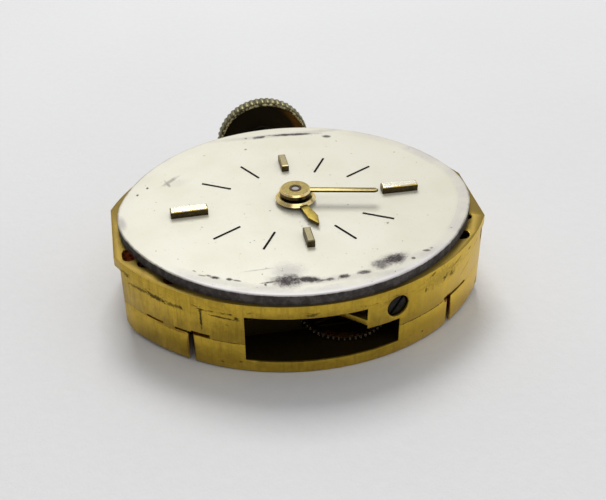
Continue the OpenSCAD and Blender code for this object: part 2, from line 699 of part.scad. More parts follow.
// The dial and what is on it
module dial_oval(s = 0) {
  a = dial_l / 2 - s;
  b = dial_w / 2 - s;
  r = dial_end_r - s;
  d = a - r;
  c = (d * d - (b - r) * (b - r)) / (2 * (b - r));
  k = atan2(c, d);
  intersection() {
    translate([0, c]) circle(b + c, $fn = 180);
    translate([0, -c]) circle(b + c, $fn = 180);
    union() {
      square([2 * (d + r * cos(k)), 2 * b], center = true);
      translate([d, 0]) circle(r, $fn = 120);
      translate([-d, 0]) circle(r, $fn = 120);
    }
  }
}
module dial() color([0.9, 0.88, 0.8]) difference() {
  union() {
    translate([0, 0, z_top]) linear_extrude(dial_t - dial_bevel) dial_oval();
    translate([0, 0, z_dial - dial_bevel - e]) linear_extrude(dial_bevel + e) dial_oval(dial_bevel);
  }
  cyl(tube_r + 0.1, z_top - 1, z_dial + 1);
}
module dial_feet() color([0.75, 0.5, 0.3]) for (f = [foot_f, foot_b])
  at(f) cyl(foot_r, z_top - foot_l, z_top);
module baton(l, w) intersection() {
  translate([0, -w / 2, 0]) cube([l, w, baton_h]);
  rotate([0, -90, 0]) translate([0, 0, -l - 1]) linear_extrude(l + 2)
    polygon([[-1, -w], [baton_h - 0.25 * w, -w * 0.5], [baton_h, -w * 0.25], [baton_h, w * 0.25],
      [baton_h - 0.25 * w, w * 0.5], [-1, w]]);
}
module hour_batons() color([0.85, 0.68, 0.3]) translate([0, 0, z_dial]) {
  for (a = [0, 180]) rotate(a) translate([baton_r, 0, 0]) baton(baton_l, baton_w);
  for (a = [90, 270]) rotate(a) translate([short_r, 0, 0]) baton(short_l, short_w);
}
module hour_lines() color([0.08, 0.07, 0.07]) translate([0, 0, z_dial]) {
  for (a = [60, 120, 240, 300]) rotate(a) translate([line_a[0], -line_w / 2, 0])
    cube([line_a[1] - line_a[0], line_w, line_t]);
  for (a = [30, 150, 210, 330]) rotate(a) translate([line_b[0], -line_w / 2, 0])
    cube([line_b[1] - line_b[0], line_w, line_t]);
}

// The hands
module minute_hand() color([0.85, 0.68, 0.3]) rotate(a_min) difference() {
  union() {
    cyl(minute_boss, z_mh + 0.05, z_mh + minute_t);
    cyl(minute_boss - 0.07, z_mh, z_mh + 0.06);
    translate([0.4, -minute_w / 2, z_mh + minute_t - 0.1]) cube([minute_l - 0.4, minute_w, 0.08]);
  }
  cyl(can_r, z_mh - 1, z_mh + 1);
}
module hour_hand() color([0.85, 0.68, 0.3]) rotate(a_hour) difference() {
  union() {
    cyl(hour_boss - 0.06, z_hh, z_hh + 0.07);
    cyl(hour_boss, z_hh + 0.06, z_hh + hour_t - 0.06);
    cyl(hour_boss - 0.08, z_hh + hour_t - 0.07, z_hh + hour_t);
    translate([0, 0, z_hh + 0.04]) linear_extrude(0.12)
      polygon([[0.5, -hour_w * 0.42], [hour_l * 0.72, -hour_w / 2], [hour_l, 0],
        [hour_l * 0.72, hour_w / 2], [0.5, hour_w * 0.42]]);
  }
  cyl(tube_r, z_hh - 1, z_hh + 1);
}

// Motion work under the dial
module cannon_pinion() color([0.6, 0.6, 0.62]) difference() {
  union() {
    translate([0, 0, z_mw + 0.04]) linear_extrude(0.24) pin2(can_z, mot_m, ph_can);
    cyl(can_r, z_mw + 0.04, z_tip);
  }
  cyl(0.15, z_mw - 1, z_tip + 1);
}
module hour_wheel() color([0.8, 0.68, 0.35]) {
  wheel(hou_z, hou_m, ph_hou, 3, 0.2, 0.55, can_r + run_clr, z_mw + 0.36, z_mw + 0.47);
  ring(tube_r, can_r + run_clr, z_mw + 0.36, z_hh + hour_t - 0.02);
}
module minute_wheel() color([0.8, 0.68, 0.35]) at(pm) {
  wheel(min_z, mot_m, ph_min, 4, 0.2, 0.35, stud_r + run_clr, z_mw + 0.06, z_mw + 0.18);
  translate([0, 0, z_mw + 0.17]) linear_extrude(0.32) difference() {
    pin2(min_p, hou_m, ph_mp);
    circle(stud_r + run_clr);
  }
}
module setting_wheel() color([0.62, 0.62, 0.64]) at(ps) translate([0, 0, z_set])
  linear_extrude(z_mw + 0.19 - z_set) difference() {
    gear2(set_z, mot_m, ph_set);
    circle(0.25 + run_clr);
  }
// The post that the setting wheel turns on hangs from the cover
module keyless_cover() color([0.7, 0.7, 0.72]) difference() {
  union() {
    translate([0, 0, z_cover]) linear_extrude(cover_t) difference() {
      union() {
        bar2(yoke_p, key_mid, 0.8);
        bar2(key_mid, lev_p, 0.8);
        bar2(ps, key_mid, 0.6);
      }
    }
    at(ps) cyl(0.25, z_set, z_cover + e);
  }
  at(yoke_p) cyl(0.16 + fit_clr, z_mw - 1, z_top);
  at(lev_p) cyl(0.16 + fit_clr, z_mw - 1, z_top);
}
module keyless_screws() color([0.5, 0.5, 0.54]) for (p = [yoke_p, lev_p])
  at(p) {
    cyl(0.16, z_mw - 0.3, z_cover + cover_t + e);
    difference() {
      cyl(0.32, z_cover + cover_t, z_top - 0.03);
      rotate(25) translate([-1, -slot_w / 2, z_top - 0.03 - 0.06]) cube([2, slot_w, 1]);
    }
  }
module setting_lever() color([0.6, 0.6, 0.63]) difference() {
  union() {
    translate([0, 0, z_key]) linear_extrude(key_t) {
      bar2(lev_p, lev_p + [-1.05, 0.39], 0.36);
      bar2(lev_p + [-1.05, 0.39], [0, y_groove], 0.3);
    }
    at(lev_p, z_key) cylinder(r = 0.4, h = key_t);
    at([0, y_groove]) cyl(0.1, stem_z + groove_r + 0.06, z_key + e);
  }
  at(lev_p) cyl(0.16 + run_clr, z_mw - 1, z_top);
}
module yoke() color([0.6, 0.6, 0.63]) difference() {
  union() {
    translate([0, 0, z_key]) linear_extrude(key_t) {
      bar2(yoke_p, [yoke_p[0] * 0.45, y_yoke], 0.5);
      bar2([yoke_p[0] * 0.45, y_yoke], [0, y_yoke], 0.3);
    }
    at([0, y_yoke]) cyl(0.09, stem_z + sp_neck + 0.06, z_key + e);
  }
  at(yoke_p) cyl(0.16 + run_clr, z_mw - 1, z_top);
}
sp_neck = 0.6;

// Winding stem, crown and pinions, drawn along +Z and laid along +Y
module along() translate([0, 0, stem_z]) rotate([-90, 0, 0]) children();
module winding_stem() color([0.66, 0.66, 0.7]) along() {
  cyl(pilot_r, y_pilot - 0.3, y_sp0 - shift - 0.15);
  translate([-square_w / 2, -square_w / 2, y_sp0 - shift - 0.15 - e])
    cube([square_w, square_w, y_wp0 - y_sp0 + shift + 0.15 + 2 * e]);
  cyl(stem_r - 0.06, y_wp0, y_wp1 + 0.01);
  cyl(stem_r, y_wp1, y_groove - groove_w / 2);
  cyl(groove_r, y_groove - groove_w / 2 - e, y_groove + groove_w / 2 + e);
  cyl(stem_r, y_groove + groove_w / 2, y_wall + 0.5);
  cyl(neck_r, y_wall + 0.5 - e, y_crown + e);
  cyl(stem_r, y_crown, y_crown + crown_l - 0.5);
}
crown_in = crown_r - knurl_d - 0.02;
module crown() color([0.5, 0.45, 0.28]) along() difference() {
  union() {
    cyl(crown_in, y_crown, y_crown + 0.1);
    translate([0, 0, y_crown + 0.1 - e]) linear_extrude(knurl_l) polygon([
      for (i = [0 : 2 * knurls - 1]) for (s = [0.2, 0.8])
        pol(crown_r - (i % 2) * knurl_d, (i + s) * 180 / knurls)]);
    translate([0, 0, y_crown + 0.1 + knurl_l - 2 * e])
      cylinder(r1 = crown_in, r2 = crown_r * 0.62, h = crown_l - knurl_l - 0.1 + 2 * e);
  }
  ring(crown_r - crown_wall, 0.62, y_crown - 1, y_crown + crown_hollow);
  cyl(stem_r, y_crown - 1, y_crown + crown_l - 0.5);
}
module winding_pinion() color([0.62, 0.62, 0.66]) along() {
  difference() {
    translate([0, 0, y_wp0]) linear_extrude(wp_l)
      gear2(wp_z, 2 * wp_pitch / wp_z, 90 + 180 / wp_z, 0.42, 0.8, 1);
    cyl(stem_r - 0.06 + run_clr, y_wp0 - 1, y_wp1 + 1);
    clutch_teeth(0.5, y_wp0 - e, 0.12);
  }
}
wp_pitch = wp_r / (1 + 1.6 / wp_z);
// Ratchet-like end teeth between the two pinions
module clutch_teeth(share, z0, h) for (i = [0 : 9]) rotate(i * 36)
  translate([0, 0, z0]) linear_extrude(h) intersection() {
    difference() {
      circle(0.85);
      circle(0.5);
    }
    polygon([[0, 0], pol(2, -18 * share), pol(2, 18 * share)]);
  }
module sliding_pinion() color([0.62, 0.62, 0.66]) along() difference() {
  union() {
    cyl(sp_r, y_yoke + 0.17, y_sp1 - 0.06 - fit_clr);
    cyl(sp_neck, y_sp0, y_sp1 - 0.06 - fit_clr);
    cyl(sp_r, y_sp0 + 0.12, y_yoke - 0.17);
    for (i = [0 : 11]) rotate(i * 30) translate([0, 0, y_sp0]) linear_extrude(0.14)
      intersection() {
        difference() {
          circle(sp_r);
          circle(sp_r - 0.28);
        }
        polygon([[0, 0], pol(2, -7), pol(2, 7)]);
      }
    clutch_teeth(0.38, y_sp1 - 0.06 - fit_clr - e, 0.1 + fit_clr);
  }
  translate([-square_w / 2 - run_clr, -square_w / 2 - run_clr, 0])
    cube([square_w + 2 * run_clr, square_w + 2 * run_clr, 9]);
}

// Barrel
drum_r = bar_m * (bar_z / 2 - 1.2) - bar_step;
module barrel_drum() color([0.82, 0.7, 0.36]) at(pb) difference() {
  union() {
    cyl(drum_r, z_bar, z_bar1 - bar_lid);
    translate([0, 0, z_bar1 - bar_lid - bar_rim]) linear_extrude(bar_rim)
      gear2(bar_z, bar_m, ph_bar);
  }
  cyl(drum_r - bar_wall, z_bar + bar_lid, z_bar1 + 1);
  cyl(bar_pin + run_clr, z_bar - 1, z_bar1);
}
module barrel_cover() color([0.82, 0.7, 0.36]) at(pb) {
  ring(drum_r, bar_pin + run_clr, z_bar1 - bar_lid, z_bar1);
}
module mainspring() color([0.42, 0.46, 0.55]) at(pb)
  spiral(bar_core + 0.06 + spring_t / 2, drum_r - bar_wall - spring_t / 2 - e, spring_n, spring_t,
    z_bar + bar_lid + axial_clr, z_bar1 - bar_lid - axial_clr);
module barrel_arbor() color([0.66, 0.66, 0.7]) at(pb) {
  cyl(bar_core, z_bar + bar_lid + fit_clr, z_bar1 - bar_lid - fit_clr);
  cyl(bar_pin, z_rat + rat_t, z_bar + bar_lid + fit_clr + e);
  cyl(bar_pin, z_bar1 - bar_lid - fit_clr - e, z_ceil - 0.08);
  translate([-0.25, -0.25, z_rat + 0.02]) cube([0.5, 0.5, rat_t]);
}
module ratchet_wheel() color([0.74, 0.74, 0.77]) at(pb) difference() {
  translate([0, 0, z_rat]) linear_extrude(rat_t) gear2(rat_z, rat_m, ph_rat, 0.46, 0.8, 1);
  translate([-0.25, -0.25, z_rat - 1]) cube([0.5, 0.5, 2]);
}
module ratchet_screw() color([0.72, 0.72, 0.75]) at(pb) difference() {
  cyl(0.8, 0.03, z_rat);
  rotate(50) translate([-1, -slot_w / 2, -1]) cube([2, slot_w, 1.03 + 0.07]);
}
module crown_wheel() color([0.74, 0.74, 0.77]) at(pk) difference() {
  translate([0, 0, z_rat]) linear_extrude(rat_t) gear2(crw_z, rat_m, ph_crw, 0.46, 0.8, 1);
  cyl(core_r + run_clr, -1, 2);
}
module crown_wheel_screw() color([0.72, 0.72, 0.75]) at(pk) difference() {
  union() {
    cyl(0.9, 0.03, z_rat - 0.02);
    cyl(0.16, 0.1, z_rat + 0.5);
    cyl(core_r - 0.05, 0.1, z_rat);
  }
  rotate(20) translate([-1, -slot_w / 2, -1]) cube([2, slot_w, 1.03 + 0.07]);
}

// Click, its spring and screw, beside the ratchet wheel
a_click = 232;
click_p = pb + pol(rat_tip + 0.75, a_click);
click_tip = pb + pol(rat_m * (rat_z / 2 - 0.1), a_click + 14);
spring_end = click_p + [-1.15, 1.5];
module click_pocket() {
  translate([0, 0, -1]) linear_extrude(1 + z_rat + rat_t + axial_clr) {
    bar2(click_p, click_tip, 1.0);
    translate(click_p) circle(0.75);
    bar2(click_p, spring_end, 0.4);
  }
}
module click() color([0.74, 0.74, 0.77]) difference() {
  translate([0, 0, z_rat + 0.01]) linear_extrude(rat_t - 0.02) difference() {
    union() {
      translate(click_p) circle(0.42);
      bar2(click_p, click_p + (click_tip - click_p) * 0.62, 0.34);
      bar2(click_p, click_p + (click_tip - click_p) * 0.82, 0.1);
    }
  }
  at(click_p) cyl(0.2 + run_clr, -1, 2);
}
module click_screw() color([0.72, 0.72, 0.75]) at(click_p) difference() {
  union() {
    cyl(0.2, z_rat - 0.02, z_rat + rat_t + 0.35);
    cyl(0.38, 0.03, z_rat - 0.01);
  }
  rotate(-30) translate([-1, -slot_w / 2, -1]) cube([2, slot_w, 1.03 + 0.06]);
}
module click_spring() color([0.6, 0.62, 0.68]) translate([0, 0, z_rat + 0.03])
  linear_extrude(rat_t - 0.06) difference() {
    union() {
      bar2(click_p, spring_end, 0.3);
      translate(spring_end) circle(0.2);
    }
    bar2(click_p, spring_end - (spring_end - click_p) * 0.12, 0.16);
    translate(click_p) circle(0.44);
  }

// Train
module centre_wheel() color([0.84, 0.7, 0.36])
  wheel(cen_z, cen_m, ph_cen, 4, 0.22, 0.5, cen_r, z_cen, z_cen + wheel_t);
module centre_pinion() color([0.68, 0.68, 0.72]) {
  cyl(cen_r, skin_t + 0.02, z_mw + 0.02);
  cyl(cen_r * 0.7, 0.1, skin_t + 0.03);
  cyl(0.15, z_mw, z_tip - 0.03);
  translate([0, 0, bridge_t + 0.06]) linear_extrude(z_cen - bridge_t - 0.06)
    pin2(cen_p, bar_m, ph_cp);
}
module third_wheel() color([0.84, 0.7, 0.36]) at(pt)
  wheel(thd_z, thd_m, ph_thd, 4, 0.18, 0.4, arbor_r, z_thd, z_thd + wheel_t);
module third_pinion() color([0.68, 0.68, 0.72]) at(pt) {
  arbor(skin_t + 0.03, z_ceil - 0.03, skin_t - jewel_t + 0.02, z_ceil + jewel_t - 0.02);
  translate([0, 0, z_thd + wheel_t]) linear_extrude(z_ceil - 0.06 - z_thd - wheel_t)
    pin2(thd_p, cen_m, ph_tp);
}
module fourth_wheel() color([0.84, 0.7, 0.36]) at(pf)
  wheel(fth_z, fth_m, ph_fth, 4, 0.18, 0.4, arbor_r, z_fth, z_fth + wheel_t);
module fourth_pinion() color([0.68, 0.68, 0.72]) at(pf) {
  arbor(skin_t + 0.03, z_ceil - 0.03, skin_t - jewel_t + 0.02, z_ceil + jewel_t - 0.02, 0.11);
  translate([0, 0, z_fth + wheel_t + 0.1]) linear_extrude(z_thd + wheel_t + 0.08 - z_fth - wheel_t)
    pin2(fth_p, thd_m, ph_fp);
}
module escape_wheel() color([0.78, 0.78, 0.8]) at(pe) translate([0, 0, z_fork + 0.01])
  linear_extrude(0.1) difference() {
    polygon([for (i = [0 : esc_z - 1]) for (q = [[0.74, 0], [0.8, 7], [1, 11.5], [1, 14.5],
      [0.86, 13.5], [0.76, 18]]) pol(esc_r * q[0], i * 24 + q[1] + esc_ph)]);
    difference() {
      circle(esc_r * 0.62);
      circle(0.3);
      for (i = [0 : 3]) rotate(i * 90) translate([0, -0.06]) square([2, 0.12]);
    }
    circle(0.1);
  }
module escape_pinion() color([0.68, 0.68, 0.72]) at(pe) {
  arbor(skin_t + 0.03, z_ceil - 0.03, skin_t - jewel_t + 0.02, z_ceil + jewel_t - 0.02, 0.1);
  translate([0, 0, skin_t + 0.04]) linear_extrude(0.4) pin2(esc_p, fth_m, ph_ep);
}

// Pallet fork, stones and arbor; the fork lies on the line from the escape wheel to the balance
module fork_frame() at(pp, z_fork) rotate(a_line) children();
fork_t = 0.12;
stone_r = sqrt(esc_pal * esc_pal + esc_r * esc_r - 2 * esc_pal * esc_r * cos(30));
stone_x = -esc_pal + esc_r * cos(30);
stone_y = esc_r * sin(30);
module pallet_fork() color([0.72, 0.72, 0.75]) fork_frame() linear_extrude(fork_t) difference() {
  union() {
    circle(0.24);
    for (s = [-1, 1]) bar2([0, 0], [stone_x + 0.06, s * (stone_y + 0.02)], 0.22);
    for (s = [-1, 1]) translate([stone_x + 0.1, s * (stone_y + 0.03)]) rotate(s * 26)
      square(0.26, center = true);
    bar2([0, 0], [pal_bal - 0.6, 0], 0.2);
    translate([pal_bal - 0.72, -0.2]) square([0.4, 0.4]);
  }
  translate([pal_bal - 0.5, -0.09]) square([1, 0.18]);
  for (s = [-1, 1]) translate([stone_x, s * stone_y]) rotate(s * 26)
    square([0.34, 0.12], center = true);
  circle(arbor_r - 0.03);
}
module pallet_stones() color([0.75, 0.1, 0.22]) fork_frame() {
  translate([0, 0, -0.02]) linear_extrude(fork_t + 0.04)
    for (s = [-1, 1]) translate([stone_x, s * stone_y]) rotate(s * 26)
      square([0.34, 0.12], center = true);
}
module pallet_arbor() color([0.68, 0.68, 0.72]) at(pp)
  arbor(z_pcock + pcock_t + 0.02, z_ceil - 0.03, z_pcock + 0.02, z_ceil + jewel_t - 0.02, arbor_r - 0.03);

// Balance
module balance_wheel() color([0.85, 0.72, 0.38]) at(pw) {
  difference() {
    union() {
      ring(bal_r, bal_r - bal_rim, z_bal, z_bal1);
      translate([0, 0, z_bal + 0.1]) linear_extrude(0.12) difference() {
        union() {
          circle(0.42);
          rotate(a_line + 65) square([2 * (bal_r - bal_rim / 2), bal_arm], center = true);
        }
        circle(0.2);
      }
    }
  }
}
module balance_staff() color([0.68, 0.68, 0.72]) at(pw) {
  cyl(0.2, z_hair - 0.02, z_fork - 0.14);
  cyl(0.13, z_fork - 0.15, z_ceil - 0.04);
  cyl(pivot_r, skin_t - jewel_t + 0.02, z_hair - 0.01);
  cyl(pivot_r, z_ceil - 0.05, z_ceil + jewel_t - 0.02);
}
module roller() color([0.74, 0.74, 0.77]) at(pw) {
  difference() {
    cyl(roller_r, z_fork - 0.32, z_fork - 0.17);
    cyl(0.2, 0, 3);
  }
}
module impulse_jewel() color([0.75, 0.1, 0.22]) at(pw) rotate(a_line + 180)
  translate([roller_r - 0.1, 0, 0]) cyl(0.06, z_fork - 0.17, z_fork + fork_t + 0.03);
module hairspring() color([0.3, 0.36, 0.6]) at(pw) {
  ring(0.3, 0.2, z_hair, z_hair + hair_h);
  spiral(0.3 + hair_t / 2 - 0.01, hair_r, hair_n, hair_t, z_hair, z_hair + hair_h, stud_a);
}
module hairspring_stud() color([0.74, 0.74, 0.77]) difference() {
  at(stud_p) cyl(0.13, 0.1, z_hair + hair_h);
  at(pw) ring(hair_r + hair_t / 2 + 0.01, 0.5, z_hair - 0.02, z_hair + 1);
}

main_plate();
barrel_bridge();
train_bridge();
balance_cock();
pallet_bridge();
pallet_bridge_screw();
bridge_screws();
cock_screw();
dial();
dial_feet();
hour_batons();
hour_lines();
dial_foot_screws();
plate_jewels();
bridge_jewels();
balance_jewel();
balance_cap();
regulator();
minute_hand();
hour_hand();
cannon_pinion();
hour_wheel();
minute_wheel();
setting_wheel();
keyless_cover();
keyless_screws();
setting_lever();
yoke();
winding_stem();
crown();
winding_pinion();
sliding_pinion();
barrel_drum();
barrel_cover();
mainspring();
barrel_arbor();
ratchet_wheel();
ratchet_screw();
crown_wheel();
crown_wheel_screw();
click();
click_screw();
click_spring();
centre_wheel();
centre_pinion();
third_wheel();
third_pinion();
fourth_wheel();
fourth_pinion();
escape_wheel();
escape_pinion();
pallet_fork();
pallet_stones();
pallet_arbor();
balance_wheel();
balance_staff();
roller();
impulse_jewel();
hairspring();
hairspring_stud();
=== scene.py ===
import math

import bmesh
import bpy
from mathutils import Matrix, Vector


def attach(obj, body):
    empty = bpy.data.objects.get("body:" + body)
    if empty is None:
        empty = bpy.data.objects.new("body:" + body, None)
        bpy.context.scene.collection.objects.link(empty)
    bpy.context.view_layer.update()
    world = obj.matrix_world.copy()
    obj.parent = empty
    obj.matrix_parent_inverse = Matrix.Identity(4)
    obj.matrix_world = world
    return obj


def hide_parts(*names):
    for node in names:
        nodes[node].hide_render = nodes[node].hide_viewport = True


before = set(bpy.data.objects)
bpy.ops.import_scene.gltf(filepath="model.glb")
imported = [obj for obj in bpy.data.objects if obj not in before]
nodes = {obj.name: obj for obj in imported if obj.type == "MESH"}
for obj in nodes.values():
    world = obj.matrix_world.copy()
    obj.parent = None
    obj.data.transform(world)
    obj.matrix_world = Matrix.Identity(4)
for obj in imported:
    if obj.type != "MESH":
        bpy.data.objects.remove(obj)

bpy.ops.object.select_all(action="DESELECT")
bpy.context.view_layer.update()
mm = 0.001

# Levels and sizes of the movement, in millimetres, as the source has them
movement = {
    "dialTop": 3.47,
    "sideRadius": 8.2,
    "sideCentre": 2.0,
    "backLess": 0.3,
    "endFlat": 7.05,
    "stemHeight": 1.45,
}
# Upward share of a face's normal, from which the face is a slant, and from which it is flat
slantFrom = 0.3
flatFrom = 0.95


# Small helpers

def shiftInMesh(obj):
    # The finished piece sits at the origin, with its place in its mesh
    bpy.context.view_layer.update()
    obj.data.transform(obj.matrix_world)
    obj.matrix_world = Matrix.Identity(4)


def only(obj):
    bpy.ops.object.select_all(action="DESELECT")
    obj.select_set(True)
    bpy.context.view_layer.objects.active = obj


def editSelect(obj, facesWhere=None, edgesWhere=None):
    # Enters edit mode with only the faces or edges that pass the test selected
    only(obj)
    bpy.ops.object.mode_set(mode="EDIT")
    bpy.ops.mesh.select_all(action="DESELECT")
    mesh = bmesh.from_edit_mesh(obj.data)
    if facesWhere:
        bpy.ops.mesh.select_mode(type="FACE")
        for face in mesh.faces:
            face.select = bool(facesWhere(face))
    if edgesWhere:
        bpy.ops.mesh.select_mode(type="EDGE")
        for edge in mesh.edges:
            edge.select = bool(edgesWhere(edge))
    mesh.select_flush_mode()
    bmesh.update_edit_mesh(obj.data)


def editDone():
    bpy.ops.object.mode_set(mode="OBJECT")


def selectAll():
    bpy.ops.mesh.select_all(action="SELECT")


def extrudeUp(height):
    bpy.ops.mesh.extrude_region_move(TRANSFORM_OT_translate={"value": (0, 0, height)})


def applyModifier(obj, kind, **values):
    only(obj)
    modifier = obj.modifiers.new(kind.title(), kind)
    for key, value in values.items():
        setattr(modifier, key, value)
    bpy.ops.object.modifier_apply(modifier=modifier.name)


def bevelEdges(obj, width, segments, degrees, **values):
    applyModifier(obj, "BEVEL", width=width * mm, segments=segments, limit_method="ANGLE",
                  angle_limit=math.radians(degrees), **values)


def bevelSelected(width, segments):
    bpy.ops.mesh.bevel(offset=width * mm, segments=segments, affect="EDGES")
    editDone()


def smoothBy(obj, degrees):
    only(obj)
    bpy.ops.object.shade_smooth_by_angle(angle=math.radians(degrees))


def joinAs(name, parts):
    bpy.ops.object.select_all(action="DESELECT")
    for part in parts:
        part.select_set(True)
    bpy.context.view_layer.objects.active = parts[0]
    bpy.ops.object.join()
    joined = bpy.context.view_layer.objects.active
    joined.name = name
    joined.data.name = name
    return joined


def wear(obj, *finishNames):
    obj.data.materials.clear()
    for finishName in finishNames:
        obj.data.materials.append(bpy.data.materials[finishName])


def outward(obj):
    editSelect(obj)
    selectAll()
    bpy.ops.mesh.remove_doubles(threshold=1e-7)
    bpy.ops.mesh.normals_make_consistent(inside=False)
    editDone()


# Node helpers for the finishes

def startFinish(name):
    material = bpy.data.materials.new(name)
    material.use_nodes = True
    tree = material.node_tree
    shader = tree.nodes["Principled BSDF"]
    coords = tree.nodes.new("ShaderNodeTexCoord")
    mapping = tree.nodes.new("ShaderNodeMapping")
    mapping.inputs["Scale"].default_value = (1000, 1000, 1000)  # metres to millimetres
    tree.links.new(coords.outputs["Object"], mapping.inputs["Vector"])
    return tree, shader, mapping.outputs["Vector"]


def feed(tree, socket, value):
    if isinstance(value, bpy.types.NodeSocket):
        tree.links.new(value, socket)
    elif hasattr(value, "__len__") and len(value) == 3 and socket.type == "RGBA":
        socket.default_value = (*value, 1)
    else:
        socket.default_value = value


def calc(tree, operation, a, b=0.0, clamp=False):
    node = tree.nodes.new("ShaderNodeMath")
    node.operation = operation
    node.use_clamp = clamp
    for socket, value in zip(node.inputs, (a, b)):
        feed(tree, socket, value)
    return node.outputs[0]


def plus(tree, a, b, clamp=False):
    return calc(tree, "ADD", a, b, clamp=clamp)


def minus(tree, a, b):
    return calc(tree, "SUBTRACT", a, b)


def rest(tree, value):
    # What is left of 1
    return calc(tree, "SUBTRACT", 1.0, value)


def times(tree, a, b):
    return calc(tree, "MULTIPLY", a, b)


def larger(tree, a, b):
    return calc(tree, "MAXIMUM", a, b)


def above(tree, a, b):
    return calc(tree, "GREATER_THAN", a, b)


def below(tree, a, b):
    return calc(tree, "LESS_THAN", a, b)


def absolute(tree, value):
    return calc(tree, "ABSOLUTE", value)


def stepBetween(tree, value, low, high):
    node = tree.nodes.new("ShaderNodeMapRange")
    node.interpolation_type = "SMOOTHSTEP"
    feed(tree, node.inputs["Value"], value)
    node.inputs["From Min"].default_value = low
    node.inputs["From Max"].default_value = high
    return node.outputs["Result"]


def spread(tree, value, low, high):
    node = tree.nodes.new("ShaderNodeMapRange")
    feed(tree, node.inputs["Value"], value)
    node.inputs["To Min"].default_value = low
    node.inputs["To Max"].default_value = high
    return node.outputs["Result"]


def stretched(tree, vector, scale, shift=(0, 0, 0)):
    node = tree.nodes.new("ShaderNodeMapping")
    node.inputs["Scale"].default_value = scale
    node.inputs["Location"].default_value = shift
    tree.links.new(vector, node.inputs["Vector"])
    return node.outputs["Vector"]


def noise(tree, vector, scale, detail, rough, distort=0.0):
    node = tree.nodes.new("ShaderNodeTexNoise")
    tree.links.new(vector, node.inputs["Vector"])
    node.inputs["Scale"].default_value = scale
    node.inputs["Detail"].default_value = detail
    node.inputs["Roughness"].default_value = rough
    node.inputs["Distortion"].default_value = distort
    return node.outputs[0]


def blendColours(tree, factor, first, second):
    node = tree.nodes.new("ShaderNodeMix")
    node.data_type = "RGBA"
    feed(tree, node.inputs[0], factor)
    feed(tree, node.inputs[6], first)
    feed(tree, node.inputs[7], second)
    return node.outputs[2]


def coat(tree, shader, colour, rough):
    # Colour and roughness of a finish
    tree.links.new(colour, shader.inputs["Base Color"])
    tree.links.new(rough, shader.inputs["Roughness"])


def bumpFrom(tree, shader, height, depth):
    node = tree.nodes.new("ShaderNodeBump")
    node.inputs["Strength"].default_value = 1
    node.inputs["Distance"].default_value = depth * mm
    tree.links.new(height, node.inputs["Height"])
    tree.links.new(node.outputs["Normal"], shader.inputs["Normal"])


def axes(tree, vector):
    node = tree.nodes.new("ShaderNodeSeparateXYZ")
    tree.links.new(vector, node.inputs[0])
    return node.outputs


def radiusFrom(tree, a, b, centre=(0.0, 0.0)):
    # Distance of a point from an axis through centre
    a = minus(tree, a, centre[0])
    b = minus(tree, b, centre[1])
    return calc(tree, "SQRT", plus(tree, times(tree, a, a), times(tree, b, b)))


def insideWall(tree, vector):
    # How far a point lies behind the movement's curved side wall, in millimetres
    x, y, z = axes(tree, vector)
    # The side by the crown has a smaller radius, about a centre as much nearer
    less = times(tree, above(tree, y, 0.0), movement["backLess"])
    across = minus(tree, plus(tree, absolute(tree, y), movement["sideCentre"]), less)
    side = minus(tree, minus(tree, movement["sideRadius"], less), radiusFrom(tree, x, across))
    end = minus(tree, movement["endFlat"], absolute(tree, x))
    return calc(tree, "MINIMUM", side, end)


# Finishes

# Distances, in half widths of a mark, over which it and its haze fade out
blotFade = (0.45, 1.4)
hazeFade = (0.4, 2.0)


def blot(tree, plane, ragged, values):
    # Share of a ragged oval mark: centre, half length, half width, turn in degrees, strength
    cx, cy, halfLength, halfWidth, turn, strength = values[:6]
    mapping = tree.nodes.new("ShaderNodeMapping")
    mapping.vector_type = "TEXTURE"
    mapping.inputs["Location"].default_value = (cx, cy, 0)
    mapping.inputs["Rotation"].default_value = (0, 0, math.radians(turn))
    mapping.inputs["Scale"].default_value = (halfLength, halfWidth, 1000)
    tree.links.new(plane, mapping.inputs["Vector"])
    length = tree.nodes.new("ShaderNodeVectorMath")
    length.operation = "LENGTH"
    tree.links.new(mapping.outputs["Vector"], length.inputs[0])
    away = plus(tree, length.outputs["Value"], ragged)
    return away, times(tree, rest(tree, stepBetween(tree, away, *blotFade)), strength)


giltBrass = {
    "light": (0.62, 0.42, 0.052),
    "deep": (0.44, 0.295, 0.034),
    # Painted light: the brighter right end of the front
    "wearAndPaintedLight": (0.86, 0.59, 0.075),
    "brown": (0.30, 0.185, 0.028),
    "dirt": (0.040, 0.030, 0.012),
    # Painted shade: the near black of the pockets
    "inside": (0.010, 0.007, 0.004),
    "copper": (0.60, 0.20, 0.06),
    "gapRedBrown": (0.15, 0.045, 0.012),
    "face": (0.155, 0.11, 0.028),
    "roughness": (0.30, 0.48),
    "grain": 0.0025,
    # How much of each layer shows
    "streakShare": 0.42,
    "patchShare": 0.4,
    "paintedLightShare": 0.6,
    "dirtShare": 0.85,
    "darkShare": 0.96,
    "ledgeShare": 0.85,
    "faceShare": 0.85,
    # Where the layers lie, in millimetres
    "paintedLightX": (2.2, 5.2),
    "paintedLightY": (-2.4, 2.2),
    "marksY": -2.1,
    "dirtLine": 2.62,
    "dirtReach": (0.03, 0.2),
    "darkDepth": (0.03, 0.10),
    "holeRedBrownX": 4.2,
    "holeRedBrownZ": 1.5,
    "holeRedBrownDepth": 1.0,
    "ledge": ((0.5, 1.62), (-7.0, -3.9), (1.74, 2.03)),
    "faceZ": (3.045, 3.0495),
}
